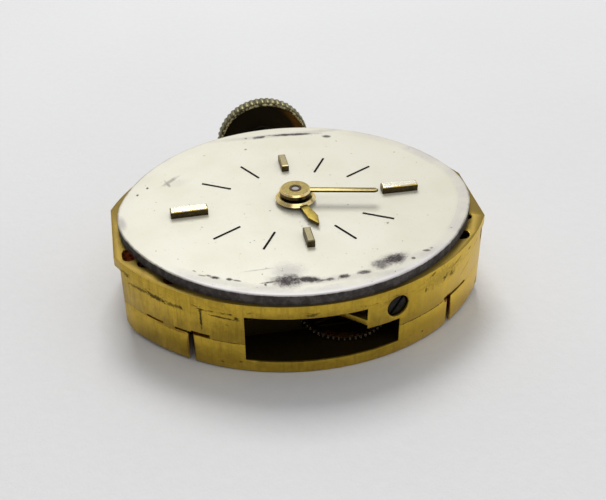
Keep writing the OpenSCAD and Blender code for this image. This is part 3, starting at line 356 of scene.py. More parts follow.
# Each mark on the front wall: place along X and Z, half length, half width, turn, strength
wallMarks = [
    (-6.4, 2.38, 0.42, 0.07, 8, 0.7),
    (-5.85, 2.38, 0.36, 0.09, -4, 0.95),
    (-5.3, 2.34, 0.30, 0.08, 0, 0.7),
    (-6.12, 2.46, 0.05, 0.05, 40, 0.9),
    (-5.55, 2.28, 0.05, 0.04, 0, 0.9),
    (-5.02, 2.37, 0.05, 0.1, 20, 0.9),
    (-4.37, 2.12, 0.48, 0.034, 90, 1),
    (-4.38, 2.50, 0.10, 0.06, 90, 1),
    (-4.38, 2.55, 0.15, 0.03, 0, 1),
    (-3.62, 2.36, 0.5, 0.035, -4, 0.9),
    (-3.16, 2.40, 0.10, 0.09, 0, 1),
    (-0.5, 2.64, 0.13, 0.05, 0, 0.8),
    (4.2, 2.92, 0.14, 0.04, 30, 0.8),
    (6.98, 2.45, 0.22, 0.05, 85, 1),
    (5.35, 2.72, 0.35, 0.05, 20, 0.5),
    (2.75, 0.72, 0.05, 0.05, 0, 0.8),
    (-3.1, 0.42, 0.05, 0.05, 0, 0.8),
    (4.8, 2.42, 0.13, 0.10, 40, 0.9),
    (5.12, 2.38, 0.10, 0.13, 50, 0.8),
    (3.89, 2.37, 0.05, 0.12, 0, 0.8),
    (4.6, 2.6, 0.8, 0.35, 0, 0.3),
    (6.93, 0.28, 0.16, 0.04, 80, 1),
    (3.87, 0.43, 0.05, 0.04, 0, 0.9),
    (-3.73, 0.30, 0.05, 0.03, 0, 0.9),
    (3.4, 1.245, 0.55, 0.022, 0, 0.9),
    (4.3, 1.245, 0.50, 0.022, 0, 0.9),
    (-3.5, 1.25, 0.75, 0.018, 0, 0.7),
    (5.9, 2.0, 0.3, 0.02, 30, 0.5),
    (6.1, 2.75, 0.08, 0.04, 0, 0.9),
]
# Red-brown marks at the edges of the two gaps and of the slots beside them
gapRedBrownMarks = [
    (5.20, 0.65, 0.62, 0.05, 94, 0.8),
    (5.0, 1.24, 0.14, 0.09, 0, 1),
    (5.45, 1.35, 0.5, 0.05, -5, 0.9),
    (-4.70, 0.65, 0.62, 0.05, 91, 0.9),
    (-4.88, 0.5, 0.5, 0.04, 91, 0.7),
    (-5.3, 1.2, 0.5, 0.045, 0, 0.6),
]


def makeGilt(name, values, marks, darkFrom, darkTo):
    tree, shader, at = startFinish(name)
    x, y, z = axes(tree, at)
    cloud = noise(tree, at, 0.75, 5, 0.62)
    mottle = noise(tree, at, 5.5, 5, 0.7)
    tone = plus(tree, times(tree, cloud, 0.6), times(tree, mottle, 0.4))
    tone = stepBetween(tree, tone, 0.36, 0.66)
    colour = blendColours(tree, tone, values["deep"], values["light"])
    streak = noise(tree, stretched(tree, at, (9, 9, 0.8)), 1, 3, 0.6)
    streak = spread(tree, stepBetween(tree, streak, 0.46, 0.72), 0, values["streakShare"])
    colour = blendColours(tree, streak, colour, values["brown"])
    patch = noise(tree, stretched(tree, at, (2.6, 2.6, 1.2), (5, 3, 1)), 1, 4, 0.7)
    patch = times(tree, stepBetween(tree, patch, 0.52, 0.68), values["patchShare"])
    colour = blendColours(tree, patch, colour, values["brown"])
    # Painted light: the right end of the front is painted brighter, where more light falls
    wearAndPaintedLight = times(tree, stepBetween(tree, x, *values["paintedLightX"]),
                   rest(tree, stepBetween(tree, y, *values["paintedLightY"])))
    wearAndPaintedLight = times(tree, wearAndPaintedLight, values["paintedLightShare"])
    colour = blendColours(tree, wearAndPaintedLight, colour, values["wearAndPaintedLight"])
    # Small pits and specks of dirt
    speck = stepBetween(tree, noise(tree, at, 3.4, 6, 0.78, 0.4), 0.64, 0.72)
    # A broken dirt line under the flange
    band = absolute(tree, minus(tree, z, values["dirtLine"]))
    band = rest(tree, stepBetween(tree, band, *values["dirtReach"]))
    broken = noise(tree, stretched(tree, at, (1.3, 1.3, 5), (3, 1, 2)), 1.6, 5, 0.75)
    dirt = times(tree, band, stepBetween(tree, broken, 0.54, 0.66))
    dirt = larger(tree, dirt, speck)
    # The marks and the bare copper on the front wall
    plane = tree.nodes.new("ShaderNodeCombineXYZ")
    tree.links.new(x, plane.inputs[0])
    tree.links.new(z, plane.inputs[1])
    ragged = times(tree, minus(tree, noise(tree, at, 9, 4, 0.7), 0.5), 3.2)
    front = below(tree, y, values["marksY"])
    for mark in marks:
        share = blot(tree, plane.outputs[0], ragged, mark)[1]
        dirt = larger(tree, dirt, times(tree, share, front))
    for mark in gapRedBrownMarks:
        share = times(tree, blot(tree, plane.outputs[0], ragged, mark)[1], front)
        colour = blendColours(tree, share, colour, values["gapRedBrown"])
    colour = blendColours(tree, times(tree, dirt, values["dirtShare"]), colour, values["dirt"])
    # Painted shade: the pockets behind the wall are painted dark
    behind = insideWall(tree, at)
    level = times(tree, above(tree, z, darkFrom), below(tree, z, darkTo))
    dark = times(tree, stepBetween(tree, behind, *values["darkDepth"]), level)
    # Near the ends, holes and gaps are red-brown within the painted shade, and the ledge in the
    # window is left out of the painted shade
    right = times(tree, above(tree, x, values["holeRedBrownX"]), below(tree, z, values["holeRedBrownZ"]))
    holeRedBrown = larger(tree, below(tree, x, -values["holeRedBrownX"]), right)
    holeRedBrown = times(tree, holeRedBrown, below(tree, behind, values["holeRedBrownDepth"]))
    holeRedBrown = times(tree, holeRedBrown, stepBetween(tree, mottle, 0.35, 0.6))
    inside = blendColours(tree, holeRedBrown, values["inside"], values["copper"])
    ledge = values["ledgeShare"]
    for axis, (low, high) in zip((x, y, z), values["ledge"]):
        ledge = times(tree, ledge, times(tree, above(tree, axis, low), below(tree, axis, high)))
    dark = times(tree, dark, rest(tree, ledge))
    colour = blendColours(tree, times(tree, dark, values["darkShare"]), colour, inside)
    # The dial side is matt and duller
    face = stepBetween(tree, z, *values["faceZ"])
    colour = blendColours(tree, times(tree, face, values["faceShare"]), colour, values["face"])
    shader.inputs["Metallic"].default_value = 1
    rough = spread(tree, mottle, *values["roughness"])
    rough = plus(tree, rough, times(tree, dirt, 0.3))
    rough = plus(tree, rough, times(tree, face, 0.12))
    rough = plus(tree, rough, times(tree, dark, 0.25), clamp=True)
    coat(tree, shader, colour, rough)
    grain = plus(tree, noise(tree, at, 26, 4, 0.7), times(tree, mottle, 1.5))
    grain = minus(tree, grain, times(tree, dirt, 0.8))
    bumpFrom(tree, shader, grain, values["grain"])


def makeMetal(name, light, deep, roughness, grain, scale, metallic=1.0):
    tree, shader, at = startFinish(name)
    mottle = noise(tree, at, scale, 4, 0.6)
    fine = noise(tree, at, scale * 7, 3, 0.6)
    tone = plus(tree, times(tree, mottle, 0.7), times(tree, fine, 0.3))
    colour = blendColours(tree, stepBetween(tree, tone, 0.35, 0.65), deep, light)
    shader.inputs["Metallic"].default_value = metallic
    coat(tree, shader, colour, spread(tree, mottle, *roughness))
    bumpFrom(tree, shader, fine, grain)
    return shader


dialPaint = {
    "face": (0.76, 0.735, 0.60),
    "warm": (0.72, 0.687, 0.535),
    "shade": (0.5, 0.48, 0.40),
    # Painted highlight along the front rim
    "ring": (0.58, 0.55, 0.49),
    "bright": (0.66, 0.635, 0.62),
    "edge": (0.20, 0.18, 0.14),
    "stain": (0.060, 0.050, 0.045),
    "stainLight": (0.17, 0.15, 0.155),
    "haze": (0.34, 0.31, 0.29),
    "speck": (0.40, 0.36, 0.26),
    "rim": (0.050, 0.043, 0.040),
    "rimLight": (0.10, 0.09, 0.085),
    # How much of each layer shows
    "shadeShare": 0.2,
    "ringLeast": 0.15,
    "lineShare": 0.12,
    "pitShare": 0.42,
    "hazeShare": 0.85,
    "speckShare": 0.65,
    # Distances from the dial's edge, in millimetres
    "ringEnd": (0.30, 0.60),
    "lineAt": 0.44,
    "lineHalf": 0.04,
    "highlightEnd": (0.10, 0.26),
    "wornEnd": (0.02, 0.09),
    # The side starts this far below the top
    "sideDrop": (0.05, 0.022),
}
# Each stain: centre, half length, half width, turn in degrees, strength, strength of its haze
dialStains = [
    (-1.22, -5.10, 0.50, 0.33, -5, 1, 0.8),
    (-0.48, -5.18, 0.46, 0.18, -16, 1, 0.5),
    (-1.10, -4.62, 0.42, 0.40, -7, 0, 0.7),
    (-1.86, -5.07, 0.30, 0.05, 0, 0.9, 0),
    (-2.02, -5.18, 0.10, 0.045, -88, 0.9, 0),
    (0.05, -5.31, 0.26, 0.045, -5, 0.9, 0),
    (0.26, -5.30, 0.17, 0.09, 1, 0.9, 0.3),
    (0.80, -5.24, 0.20, 0.12, 7, 1, 0.4),
    (1.54, -5.14, 0.23, 0.11, 1, 0.95, 0.4),
    (2.28, -4.80, 0.32, 0.26, 18, 0.75, 0.7),
    (2.80, -4.58, 0.50, 0.27, 17, 1, 0.8),
    (3.51, -4.65, 0.08, 0.07, 7, 0.9, 0.4),
    (4.12, -4.28, 0.13, 0.06, -1, 0.8, 0.3),
    (4.35, -4.16, 0.07, 0.05, 10, 0.6, 0),
    (-3.72, -4.42, 0.18, 0.08, -27, 1, 0.4),
    (-3.92, -4.27, 0.12, 0.05, -33, 0.8, 0),
    (-3.23, -4.62, 0.12, 0.07, -25, 1, 0.3),
    (-2.97, -4.75, 0.15, 0.05, -25, 0.8, 0),
    (-4.14, -4.21, 0.15, 0.04, -27, 0.6, 0),
    (-4.40, -3.89, 0.09, 0.04, -49, 0.6, 0),
    (-2.12, -4.26, 0.55, 0.035, 1, 0.3, 0),
    (0.83, 5.37, 1.0, 0.10, -6, 1, 0.3),
    (-0.64, 5.41, 0.26, 0.12, 4, 1, 0),
    (-1.21, 5.41, 0.06, 0.08, 0, 0.8, 0),
    (2.28, 4.91, 0.18, 0.12, -20, 0.9, 0),
    (-4.76, 2.47, 0.43, 0.09, 44, 0.45, 0.25),
    (-4.88, 2.29, 0.27, 0.07, -72, 0.5, 0),
    (-5.70, 2.12, 0.05, 0.07, -11, 1, 0),
    (-6.13, 1.66, 0.05, 0.07, -11, 1, 0),
    (-1.36, 4.46, 0.05, 0.06, -12, 0.7, 0),
    (-6.83, -0.28, 0.34, 0.12, -84, 0, 0.85),
    (-4.45, 2.28, 0.36, 0.22, 20, 0, 0.16),
    (-0.2, -5.32, 2.6, 0.14, 0, 0, 0.45),
    (3.0, -4.72, 1.4, 0.15, 17, 0, 0.38),
    (-3.5, -4.72, 1.2, 0.13, -24, 0, 0.34),
    (0.4, 5.42, 2.3, 0.12, 0, 0, 0.5),
]


def makeDial(name, values):
    tree, shader, at = startFinish(name)
    x, y, z = axes(tree, at)
    cloud = stepBetween(tree, noise(tree, at, 0.5, 4, 0.6), 0.35, 0.7)
    colour = blendColours(tree, cloud, values["face"], values["warm"])
    shade = times(tree, stepBetween(tree, x, -5.0, 6.0), values["shadeShare"])
    colour = blendColours(tree, shade, colour, values["shade"])
    wobble = noise(tree, at, 3.2, 5, 0.72)
    swing = minus(tree, wobble, 0.5)
    fine = noise(tree, at, 11, 4, 0.7)
    attribute = tree.nodes.new("ShaderNodeAttribute")
    attribute.attribute_name = "fromEdge"
    fromEdge = plus(tree, attribute.outputs["Fac"], times(tree, swing, 0.10))
    # The ring that the case covered is greyer, painted greyer still as shade at the front and
    # at the right, and ends in a faint broken line
    patchy = noise(tree, at, 0.9, 4, 0.65)
    wearAndPaintedLight = larger(tree, stepBetween(tree, x, 2.5, 5.2),
                    rest(tree, stepBetween(tree, y, -4.8, -2.8)))
    ring = rest(tree, stepBetween(tree, fromEdge, *values["ringEnd"]))
    ring = times(tree, ring, spread(tree, stepBetween(tree, patchy, 0.36, 0.62), 0.25, 0.95))
    ring = times(tree, ring, larger(tree, wearAndPaintedLight, values["ringLeast"]))
    colour = blendColours(tree, ring, colour, values["ring"])
    line = absolute(tree, minus(tree, fromEdge, values["lineAt"]))
    line = rest(tree, stepBetween(tree, line, 0.0, values["lineHalf"]))
    line = times(tree, times(tree, line, wearAndPaintedLight), stepBetween(tree, patchy, 0.45, 0.6))
    colour = blendColours(tree, times(tree, line, values["lineShare"]), colour, values["edge"])
    # Painted highlight: at the front a bright band is painted along the rim
    front = rest(tree, stepBetween(tree, y, -4.9, -3.2))
    bright = times(tree, front, rest(tree, stepBetween(tree, fromEdge, *values["highlightEnd"])))
    colour = blendColours(tree, bright, colour, values["bright"])
    ragged = plus(tree, times(tree, wobble, 1.3), times(tree, fine, 0.7))
    ragged = minus(tree, ragged, 1.0)
    stain = 0.0
    haze = 0.0
    for place in dialStains:
        strength, hazeStrength = place[5:]
        away, share = blot(tree, at, ragged, place)
        if strength:
            stain = larger(tree, stain, share)
        if hazeStrength:
            soft = rest(tree, stepBetween(tree, away, *hazeFade))
            haze = larger(tree, haze, times(tree, soft, hazeStrength))
    worn = rest(tree, stepBetween(tree, fromEdge, *values["wornEnd"]))
    worn = times(tree, worn, spread(tree, stepBetween(tree, patchy, 0.35, 0.6), 0.35, 1.0))
    worn = times(tree, worn, minus(tree, 0.9, times(tree, front, 0.75)))
    colour = blendColours(tree, worn, colour, values["edge"])
    speck = stepBetween(tree, noise(tree, at, 6.5, 2, 0.5), 0.735, 0.765)
    pits = stepBetween(tree, noise(tree, at, 15, 2, 0.5), 0.67, 0.72)
    colour = blendColours(tree, times(tree, pits, values["pitShare"]), colour, values["speck"])
    colour = blendColours(tree, times(tree, haze, values["hazeShare"]), colour, values["haze"])
    mark = larger(tree, stain, times(tree, speck, values["speckShare"]))
    spotted = stepBetween(tree, plus(tree, fine, times(tree, wobble, 0.8)), 0.84, 1.04)
    spotted = blendColours(tree, spotted, values["stain"], values["stainLight"])
    colour = blendColours(tree, mark, colour, spotted)
    lower, upper = (movement["dialTop"] - drop for drop in values["sideDrop"])
    side = plus(tree, z, times(tree, swing, 0.05))
    side = rest(tree, stepBetween(tree, side, lower, upper))
    rim = stepBetween(tree, wobble, 0.4, 0.65)
    rim = blendColours(tree, rim, values["rim"], values["rimLight"])
    colour = blendColours(tree, side, colour, rim)
    shader.inputs["Metallic"].default_value = 0.0
    dull = larger(tree, mark, side)
    coat(tree, shader, colour, spread(tree, dull, 0.34, 0.6))
    tree.links.new(spread(tree, dull, 0.45, 0.1), shader.inputs["Specular IOR Level"])
    bumpFrom(tree, shader, minus(tree, times(tree, fine, 0.35), mark), 0.006)


# Each metal: light and deep colour, roughness from and to, depth of the grain, its scale
metals = {
    # Painted shade: a darker copy of the hands' gold, on the minute hand's flats
    "goldTop": ((0.185, 0.142, 0.045), (0.125, 0.094, 0.028), (0.28, 0.4), 0.0006, 9),
    "goldPolish": ((0.50, 0.38, 0.12), (0.36, 0.26, 0.075), (0.20, 0.30), 0.0005, 7),
    # Painted shade: a darker copy, on the front slopes of the minute hand's blade
    "goldBlade": ((0.165, 0.132, 0.056), (0.12, 0.095, 0.037), (0.20, 0.30), 0.0005, 7),
    # Painted shade: a darker copy, on the hour hand's flats
    "goldWarm": ((0.20, 0.148, 0.025), (0.14, 0.10, 0.017), (0.28, 0.4), 0.0008, 5),
    # Painted highlight: a bright copy, on chamfers that face the light
    "goldBevelHighlight": ((0.95, 0.80, 0.42), (0.85, 0.60, 0.20), (0.22, 0.32), 0.0006, 4),
    # Painted shade: a dark copy, on the hands' sides
    "goldSideShade": ((0.11, 0.075, 0.022), (0.025, 0.017, 0.006), (0.25, 0.4), 0.0006, 5),
    # Painted highlight: a pale copy of the gold, on the tops of the 12 and 6 batons
    "batonTopHighlight": ((0.76, 0.73, 0.60), (0.73, 0.695, 0.56), (0.19, 0.20), 0.0, 2),
    # Painted shade: a dull, darker copy, on the 3 and 9 batons
    "batonDullShade": ((0.24, 0.21, 0.125), (0.19, 0.165, 0.095), (0.5, 0.6), 0.0006, 9),
    # Painted shade: a dark copy, on the batons' sides
    "batonSideShade": ((0.10, 0.075, 0.035), (0.045, 0.035, 0.02), (0.35, 0.5), 0.0006, 8),
    "steelPolish": ((0.60, 0.60, 0.62), (0.52, 0.52, 0.54), (0.20, 0.30), 0.0003, 6),
    "darkSteel": ((0.030, 0.028, 0.027), (0.012, 0.011, 0.011), (0.25, 0.42), 0.0015, 6),
    # Painted reflection: lighter steel in the side screws' slots
    "slotSteelReflection": ((0.11, 0.11, 0.105), (0.06, 0.06, 0.055), (0.4, 0.5), 0.0004, 6),
    "blueSteel": ((0.08, 0.14, 0.42), (0.04, 0.07, 0.25), (0.2, 0.32), 0.0005, 8),
    "springSteel": ((0.42, 0.45, 0.52), (0.28, 0.30, 0.36), (0.22, 0.36), 0.0005, 8),
    "wheelBrass": ((0.66, 0.46, 0.14), (0.46, 0.30, 0.08), (0.28, 0.42), 0.0008, 7),
    "copper": ((0.60, 0.26, 0.13), (0.38, 0.15, 0.07), (0.3, 0.45), 0.001, 6),
}
# The pockets are painted dark as shade between these heights, in the plate and in the bridges
makeGilt("plateGiltWearAndPaintedLight", giltBrass, wallMarks, 0.03, 2.98)
makeGilt("bridgeGiltWearAndPaintedLight", giltBrass, wallMarks, 0.5, 1.24)
makeDial("agedDial", dialPaint)
for name, values in metals.items():
    makeMetal(name, *values)
printShader = makeMetal("printBlack", (0.006, 0.006, 0.006), (0.010, 0.009, 0.009), (0.7, 0.9),
                        0.0004, 12, 0.0)
printShader.inputs["Specular IOR Level"].default_value = 0.1

crownTarnish = {
    "light": (0.27, 0.245, 0.125),
    "deep": (0.13, 0.118, 0.055),
    "dirt": (0.05, 0.045, 0.022),
    # The lip's inner edge: rubbed brass with a painted highlight
    "wearAndPaintedLight": (0.80, 0.74, 0.46),
    "black": (0.028, 0.024, 0.018),
    "brown": (0.24, 0.13, 0.04),
    # Radii, in millimetres
    "root": 2.10,
    "tip": 2.15,
    "lip": (2.06, 2.11),
    "recess": 1.975,
    "brownFrom": (1.5, 1.8),
    # Places along the stem
    "lipEnd": 8.42,
    "bandEnd": 8.96,
}


def makeCrownFinish(name, values):
    tree, shader, at = startFinish(name)
    x, y, z = axes(tree, at)
    radius = radiusFrom(tree, x, z, (0.0, movement["stemHeight"]))
    mottle = plus(tree, times(tree, noise(tree, at, 2.2, 5, 0.7), 0.55),
                  times(tree, noise(tree, at, 14, 4, 0.7), 0.45))
    tone = stepBetween(tree, mottle, 0.36, 0.64)
    colour = blendColours(tree, tone, values["deep"], values["light"])
    inBand = below(tree, y, values["bandEnd"])
    groove = rest(tree, stepBetween(tree, radius, values["root"], values["tip"]))
    groove = times(tree, groove, inBand)
    colour = blendColours(tree, times(tree, groove, 0.85), colour, values["dirt"])
    # The inner edge of the lip is rubbed, and painted bright as a highlight
    lip = times(tree, below(tree, y, values["lipEnd"]),
                rest(tree, stepBetween(tree, radius, *values["lip"])))
    lip = times(tree, lip, stepBetween(tree, noise(tree, at, 6, 3, 0.6), 0.4, 0.6))
    colour = blendColours(tree, times(tree, lip, 0.9), colour, values["wearAndPaintedLight"])
    # The recess is black, and brown at its right
    brown = times(tree, stepBetween(tree, x, 0.7, 1.6),
                  stepBetween(tree, radius, *values["brownFrom"]))
    inner = blendColours(tree, brown, values["black"], values["brown"])
    hollow = times(tree, below(tree, radius, values["recess"]), inBand)
    colour = blendColours(tree, hollow, colour, inner)
    shader.inputs["Metallic"].default_value = 1
    rough = plus(tree, spread(tree, mottle, 0.3, 0.48), times(tree, groove, 0.2), clamp=True)
    coat(tree, shader, colour, rough)
    bumpFrom(tree, shader, noise(tree, at, 21, 3, 0.6), 0.003)


makeCrownFinish("crownTarnish", crownTarnish)

windowWheel = {
    "webDeep": (0.20, 0.09, 0.03),
    "webLight": (0.50, 0.26, 0.09),
    # Tooth tips painted bright as highlights
    "tips": (0.95, 0.90, 0.78),
    "centre": (1.125, -3.771),
    "tipsFrom": (1.59, 1.65),
}


def makeWheelFinish(name, values):
    # Brown web, and tooth tips painted bright as highlights
    tree, shader, at = startFinish(name)
    x, y, z = axes(tree, at)
    mottle = noise(tree, at, 7, 4, 0.6)
    tips = stepBetween(tree, radiusFrom(tree, x, y, values["centre"]), *values["tipsFrom"])
    web = blendColours(tree, mottle, values["webDeep"], values["webLight"])
    colour = blendColours(tree, tips, web, values["tips"])
    shader.inputs["Metallic"].default_value = 1
    coat(tree, shader, colour, spread(tree, mottle, 0.22, 0.36))


makeWheelFinish("windowWheel", windowWheel)

tipSteel = {
    "steel": (0.52, 0.52, 0.54),
    "dark": (0.10, 0.09, 0.08),
    "grey": (0.40, 0.38, 0.36),
    "ring": (0.07, 0.042, 0.018),
    "ringFrom": (0.13, 0.15),
    "overDial": 0.2,
}


def makeTipFinish(name, values):
    # The dial end of the centre arbor is grey and matt in the cannon pinion's dark ring
    tree, shader, at = startFinish(name)
    x, y, z = axes(tree, at)
    end = above(tree, z, movement["dialTop"] + values["overDial"])
    ring = times(tree, stepBetween(tree, radiusFrom(tree, x, y), *values["ringFrom"]), end)
    grey = spread(tree, noise(tree, at, 18, 3, 0.6), 0.7, 1.0)
    tip = blendColours(tree, grey, values["dark"], values["grey"])
    colour = blendColours(tree, end, values["steel"], tip)
    colour = blendColours(tree, ring, colour, values["ring"])
    coat(tree, shader, colour, spread(tree, end, 0.28, 0.6))
    tree.links.new(spread(tree, end, 1.0, 0.2), shader.inputs["Metallic"])
    tree.links.new(spread(tree, end, 0.5, 0.2), shader.inputs["Specular IOR Level"])


makeTipFinish("tipSteel", tipSteel)

ruby = {"deep": (0.42, 0.012, 0.06), "light": (0.66, 0.04, 0.14), "clear": 0.35, "bend": 1.76}


def makeRuby(name, values):
    tree, shader, at = startFinish(name)
    cloud = noise(tree, at, 6, 3, 0.5)
    colour = blendColours(tree, cloud, values["deep"], values["light"])
    coat(tree, shader, colour, spread(tree, cloud, 0.05, 0.12))
    shader.inputs["Transmission Weight"].default_value = values["clear"]
    shader.inputs["IOR"].default_value = values["bend"]


makeRuby("ruby", ruby)
print("finishes made")

finishOf = {
    "windowWheel": ["fourth_wheel"],
    "tipSteel": ["cannon_pinion", "centre_pinion"],
    "wheelBrass": ["centre_wheel", "third_wheel", "minute_wheel", "hour_wheel", "barrel_drum",
                   "barrel_cover", "balance_wheel", "balance_cap"],
    "steelPolish": ["bridge_screws", "cock_screw", "pallet_bridge_screw", "keyless_screws",
                    "crown_wheel_screw", "click_screw", "ratchet_screw", "keyless_cover",
                    "click_spring", "hairspring_stud", "third_pinion", "fourth_pinion",
                    "escape_wheel", "escape_pinion", "setting_wheel", "winding_pinion",
                    "winding_stem", "sliding_pinion", "crown_wheel", "ratchet_wheel",
                    "barrel_arbor", "setting_lever", "yoke", "click", "regulator",
                    "pallet_fork", "pallet_arbor", "balance_staff", "roller"],
    "bridgeGiltWearAndPaintedLight": ["barrel_bridge", "train_bridge", "balance_cock", "pallet_bridge"],
    "plateGiltWearAndPaintedLight": ["main_plate"],
    "agedDial": ["dial"],
    "printBlack": ["hour_lines"],
    "goldPolish": ["hour_batons", "minute_hand", "hour_hand"],
    "crownTarnish": ["crown"],
    "copper": ["dial_feet"],
    "darkSteel": ["dial_foot_screws"],
    "springSteel": ["mainspring"],
    "blueSteel": ["hairspring"],
    "ruby": ["plate_jewels", "bridge_jewels", "balance_jewel", "pallet_stones", "impulse_jewel"],
}
for finish, names in finishOf.items():
    for name in names:
        wear(nodes[name], finish)
print("every node has its finish")


# Plate and bridges: merged copies with softened edges

dressed = {
    "plateShell": {"node": "main_plate", "edge": 0.02},
    "barrelBridgeShell": {"node": "barrel_bridge", "edge": 0.02, "foot": 0.06, "end": 0.32},
    "trainBridgeShell": {"node": "train_bridge", "edge": 0.02, "foot": 0.06},
    "balanceCockShell": {"node": "balance_cock", "edge": 0.02, "foot": 0.06},
}


def atEnd(place):
    # The edges of the end flat on the left
    return place.z < 0.001 and place.x < 0.005 - movement["endFlat"]


def atFoot(place):
    # The outer edge of the face that lies down
    less = movement["backLess"] if place.y > 0 else 0
    across = abs(place.y) + movement["sideCentre"] - less
    side = movement["sideRadius"] - less - math.hypot(place.x, across)
    return place.z < 0.001 and min(side, movement["endFlat"] - abs(place.x)) < 0.01


def dressNode(name, values):
    node = nodes[values["node"]]
    shell = bpy.data.objects.new(name, node.data.copy())
    bpy.context.scene.collection.objects.link(shell)
    editSelect(shell)
    selectAll()
    bpy.ops.mesh.remove_doubles(threshold=2e-7)
    bpy.ops.mesh.dissolve_limited(angle_limit=math.radians(0.4))
    editDone()
    for cut, rounds, onCut in (("end", 4, atEnd), ("foot", 2, atFoot)):
        if cut in values:
            editSelect(shell, edgesWhere=lambda edge: all(onCut(v.co / mm) for v in edge.verts))
            bevelSelected(values[cut], rounds)
    bevelEdges(shell, values["edge"], 2, 40, use_clamp_overlap=False, harden_normals=False)
    smoothBy(shell, 32)
    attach(shell, "plate")
    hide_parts(values["node"])


for name, values in dressed.items():
    dressNode(name, values)
print("plate and bridges dressed")


# Dial: an oval sheet with a rounded, worn edge

dialSizes = {
    "length": 14.0,
    "width": 12.2,
    "endRadius": 4.0,
    "thick": 0.42,
    "hole": 0.5,
    "steps": 288,
    "insets": (0.02, 0.03, 0.05, 0.08, 0.12, 0.2),
    "drops": (0.05, 0.018, 0.004),
    "chip": 0.012,
}
halfLong = dialSizes["length"] / 2
halfShort = dialSizes["width"] / 2
endShift = halfLong - dialSizes["endRadius"]
capRise = halfShort - dialSizes["endRadius"]
longShift = (endShift ** 2 - capRise ** 2) / (2 * capRise)
longRadius = halfShort + longShift
meetAngle = math.atan2(longShift, endShift)


def insideOval(x, y):
    # Distance of a point from the oval's outline, inwards, in millimetres
    x, y = abs(x), abs(y)
    if x > endShift and y * endShift < (x - endShift) * longShift:
        return dialSizes["endRadius"] - math.hypot(x - endShift, y)
    return longRadius - math.hypot(x, y + longShift)


def ovalPoint(share):
    # A point on the oval, share from 0 to 1 of the way round
    quarterEnd = dialSizes["endRadius"] * meetAngle
    quarterLong = longRadius * (math.pi / 2 - meetAngle)
    quarter = quarterEnd + quarterLong
    travel = (share % 1) * 4 * quarter
    turnNumber, travel = int(travel // quarter), travel % quarter
    if turnNumber % 2:
        travel = quarter - travel
    if travel < quarterEnd:
        angle = travel / dialSizes["endRadius"]
        x = endShift + dialSizes["endRadius"] * math.cos(angle)
        y = dialSizes["endRadius"] * math.sin(angle)
    else:
        angle = meetAngle + (travel - quarterEnd) / longRadius
        x = longRadius * math.cos(angle)
        y = longRadius * math.sin(angle) - longShift
    return (x if turnNumber in (0, 3) else -x), (y if turnNumber in (0, 1) else -y)


def circleAt(radius, steps, height):
    bpy.ops.mesh.primitive_circle_add(vertices=steps, radius=radius * mm,
                                      location=(0, 0, height * mm))
    circle = bpy.context.active_object
    shiftInMesh(circle)
    return circle


def chipAt(angle, level):
    # Depth of the chips along the dial's edge, as a share
    chip = math.sin(angle * 41) * math.sin(angle * 17 + 1) + math.sin(angle * 97 + level * 9) * 0.6
    return max(chip, 0)


def makeDialPiece(values):
    top = movement["dialTop"]
    outer = circleAt(halfLong, values["steps"], top)
    for vertex in outer.data.vertices:
        share = math.atan2(vertex.co.y, vertex.co.x) / (2 * math.pi) % 1
        x, y = ovalPoint(share)
        vertex.co.x, vertex.co.y = x * mm, y * mm
    dial = joinAs("dialSheet", [outer, circleAt(values["hole"], values["steps"], top)])
    editSelect(dial)
    selectAll()
    bpy.ops.mesh.bridge_edge_loops()
    for width in values["insets"]:
        bpy.ops.mesh.inset(thickness=width * mm, depth=0, use_boundary=True)
    selectAll()
    extrudeUp(-values["thick"] * mm)
    editDone()
    outward(dial)
    # The edge is rounded and a little chipped
    mesh = dial.data
    levels = [sum(values["insets"][:count]) for count in range(len(values["drops"]))]
    for vertex in mesh.vertices:
        x, y, z = (v / mm for v in vertex.co)
        depth = insideOval(x, y)
        if z > top - 0.01:
            for level, drop in zip(levels, values["drops"]):
                if abs(depth - level) < 0.006:
                    vertex.co.z -= drop * mm
        if depth < 0.01:
            angle = math.atan2(y, x)
            chip = values["chip"] * chipAt(angle, z) * mm
            vertex.co.x -= chip * math.cos(angle)
            vertex.co.y -= chip * math.sin(angle)
    attribute = mesh.attributes.new("fromEdge", "FLOAT", "POINT")
    depths = [max(insideOval(v.co.x / mm, v.co.y / mm), 0) for v in mesh.vertices]
    attribute.data.foreach_set("value", depths)
    smoothBy(dial, 40)
    wear(dial, "agedDial")
    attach(dial, "plate")
    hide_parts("dial")


makeDialPiece(dialSizes)
print("dial made")


# Applied batons

batons = {
    "height": 0.30,
    "chamfer": 0.04,
    "softEdge": 0.008,
    # Distance of the inner end, length, width, turn, finish of the top, of the slopes and of
    # the slope that faces the front
    "places": [
        (3.5, 1.45, 0.40, 181.8, "batonTopHighlight", "goldPolish", "goldPolish"),
        (3.5, 1.45, 0.40, 0, "batonTopHighlight", "goldPolish", "goldPolish"),
        (2.3, 0.95, 0.30, 90, "batonDullShade", "goldPolish", "goldBevelHighlight"),
        (2.3, 0.95, 0.30, 270, "batonDullShade", "batonDullShade", "batonDullShade")],
}


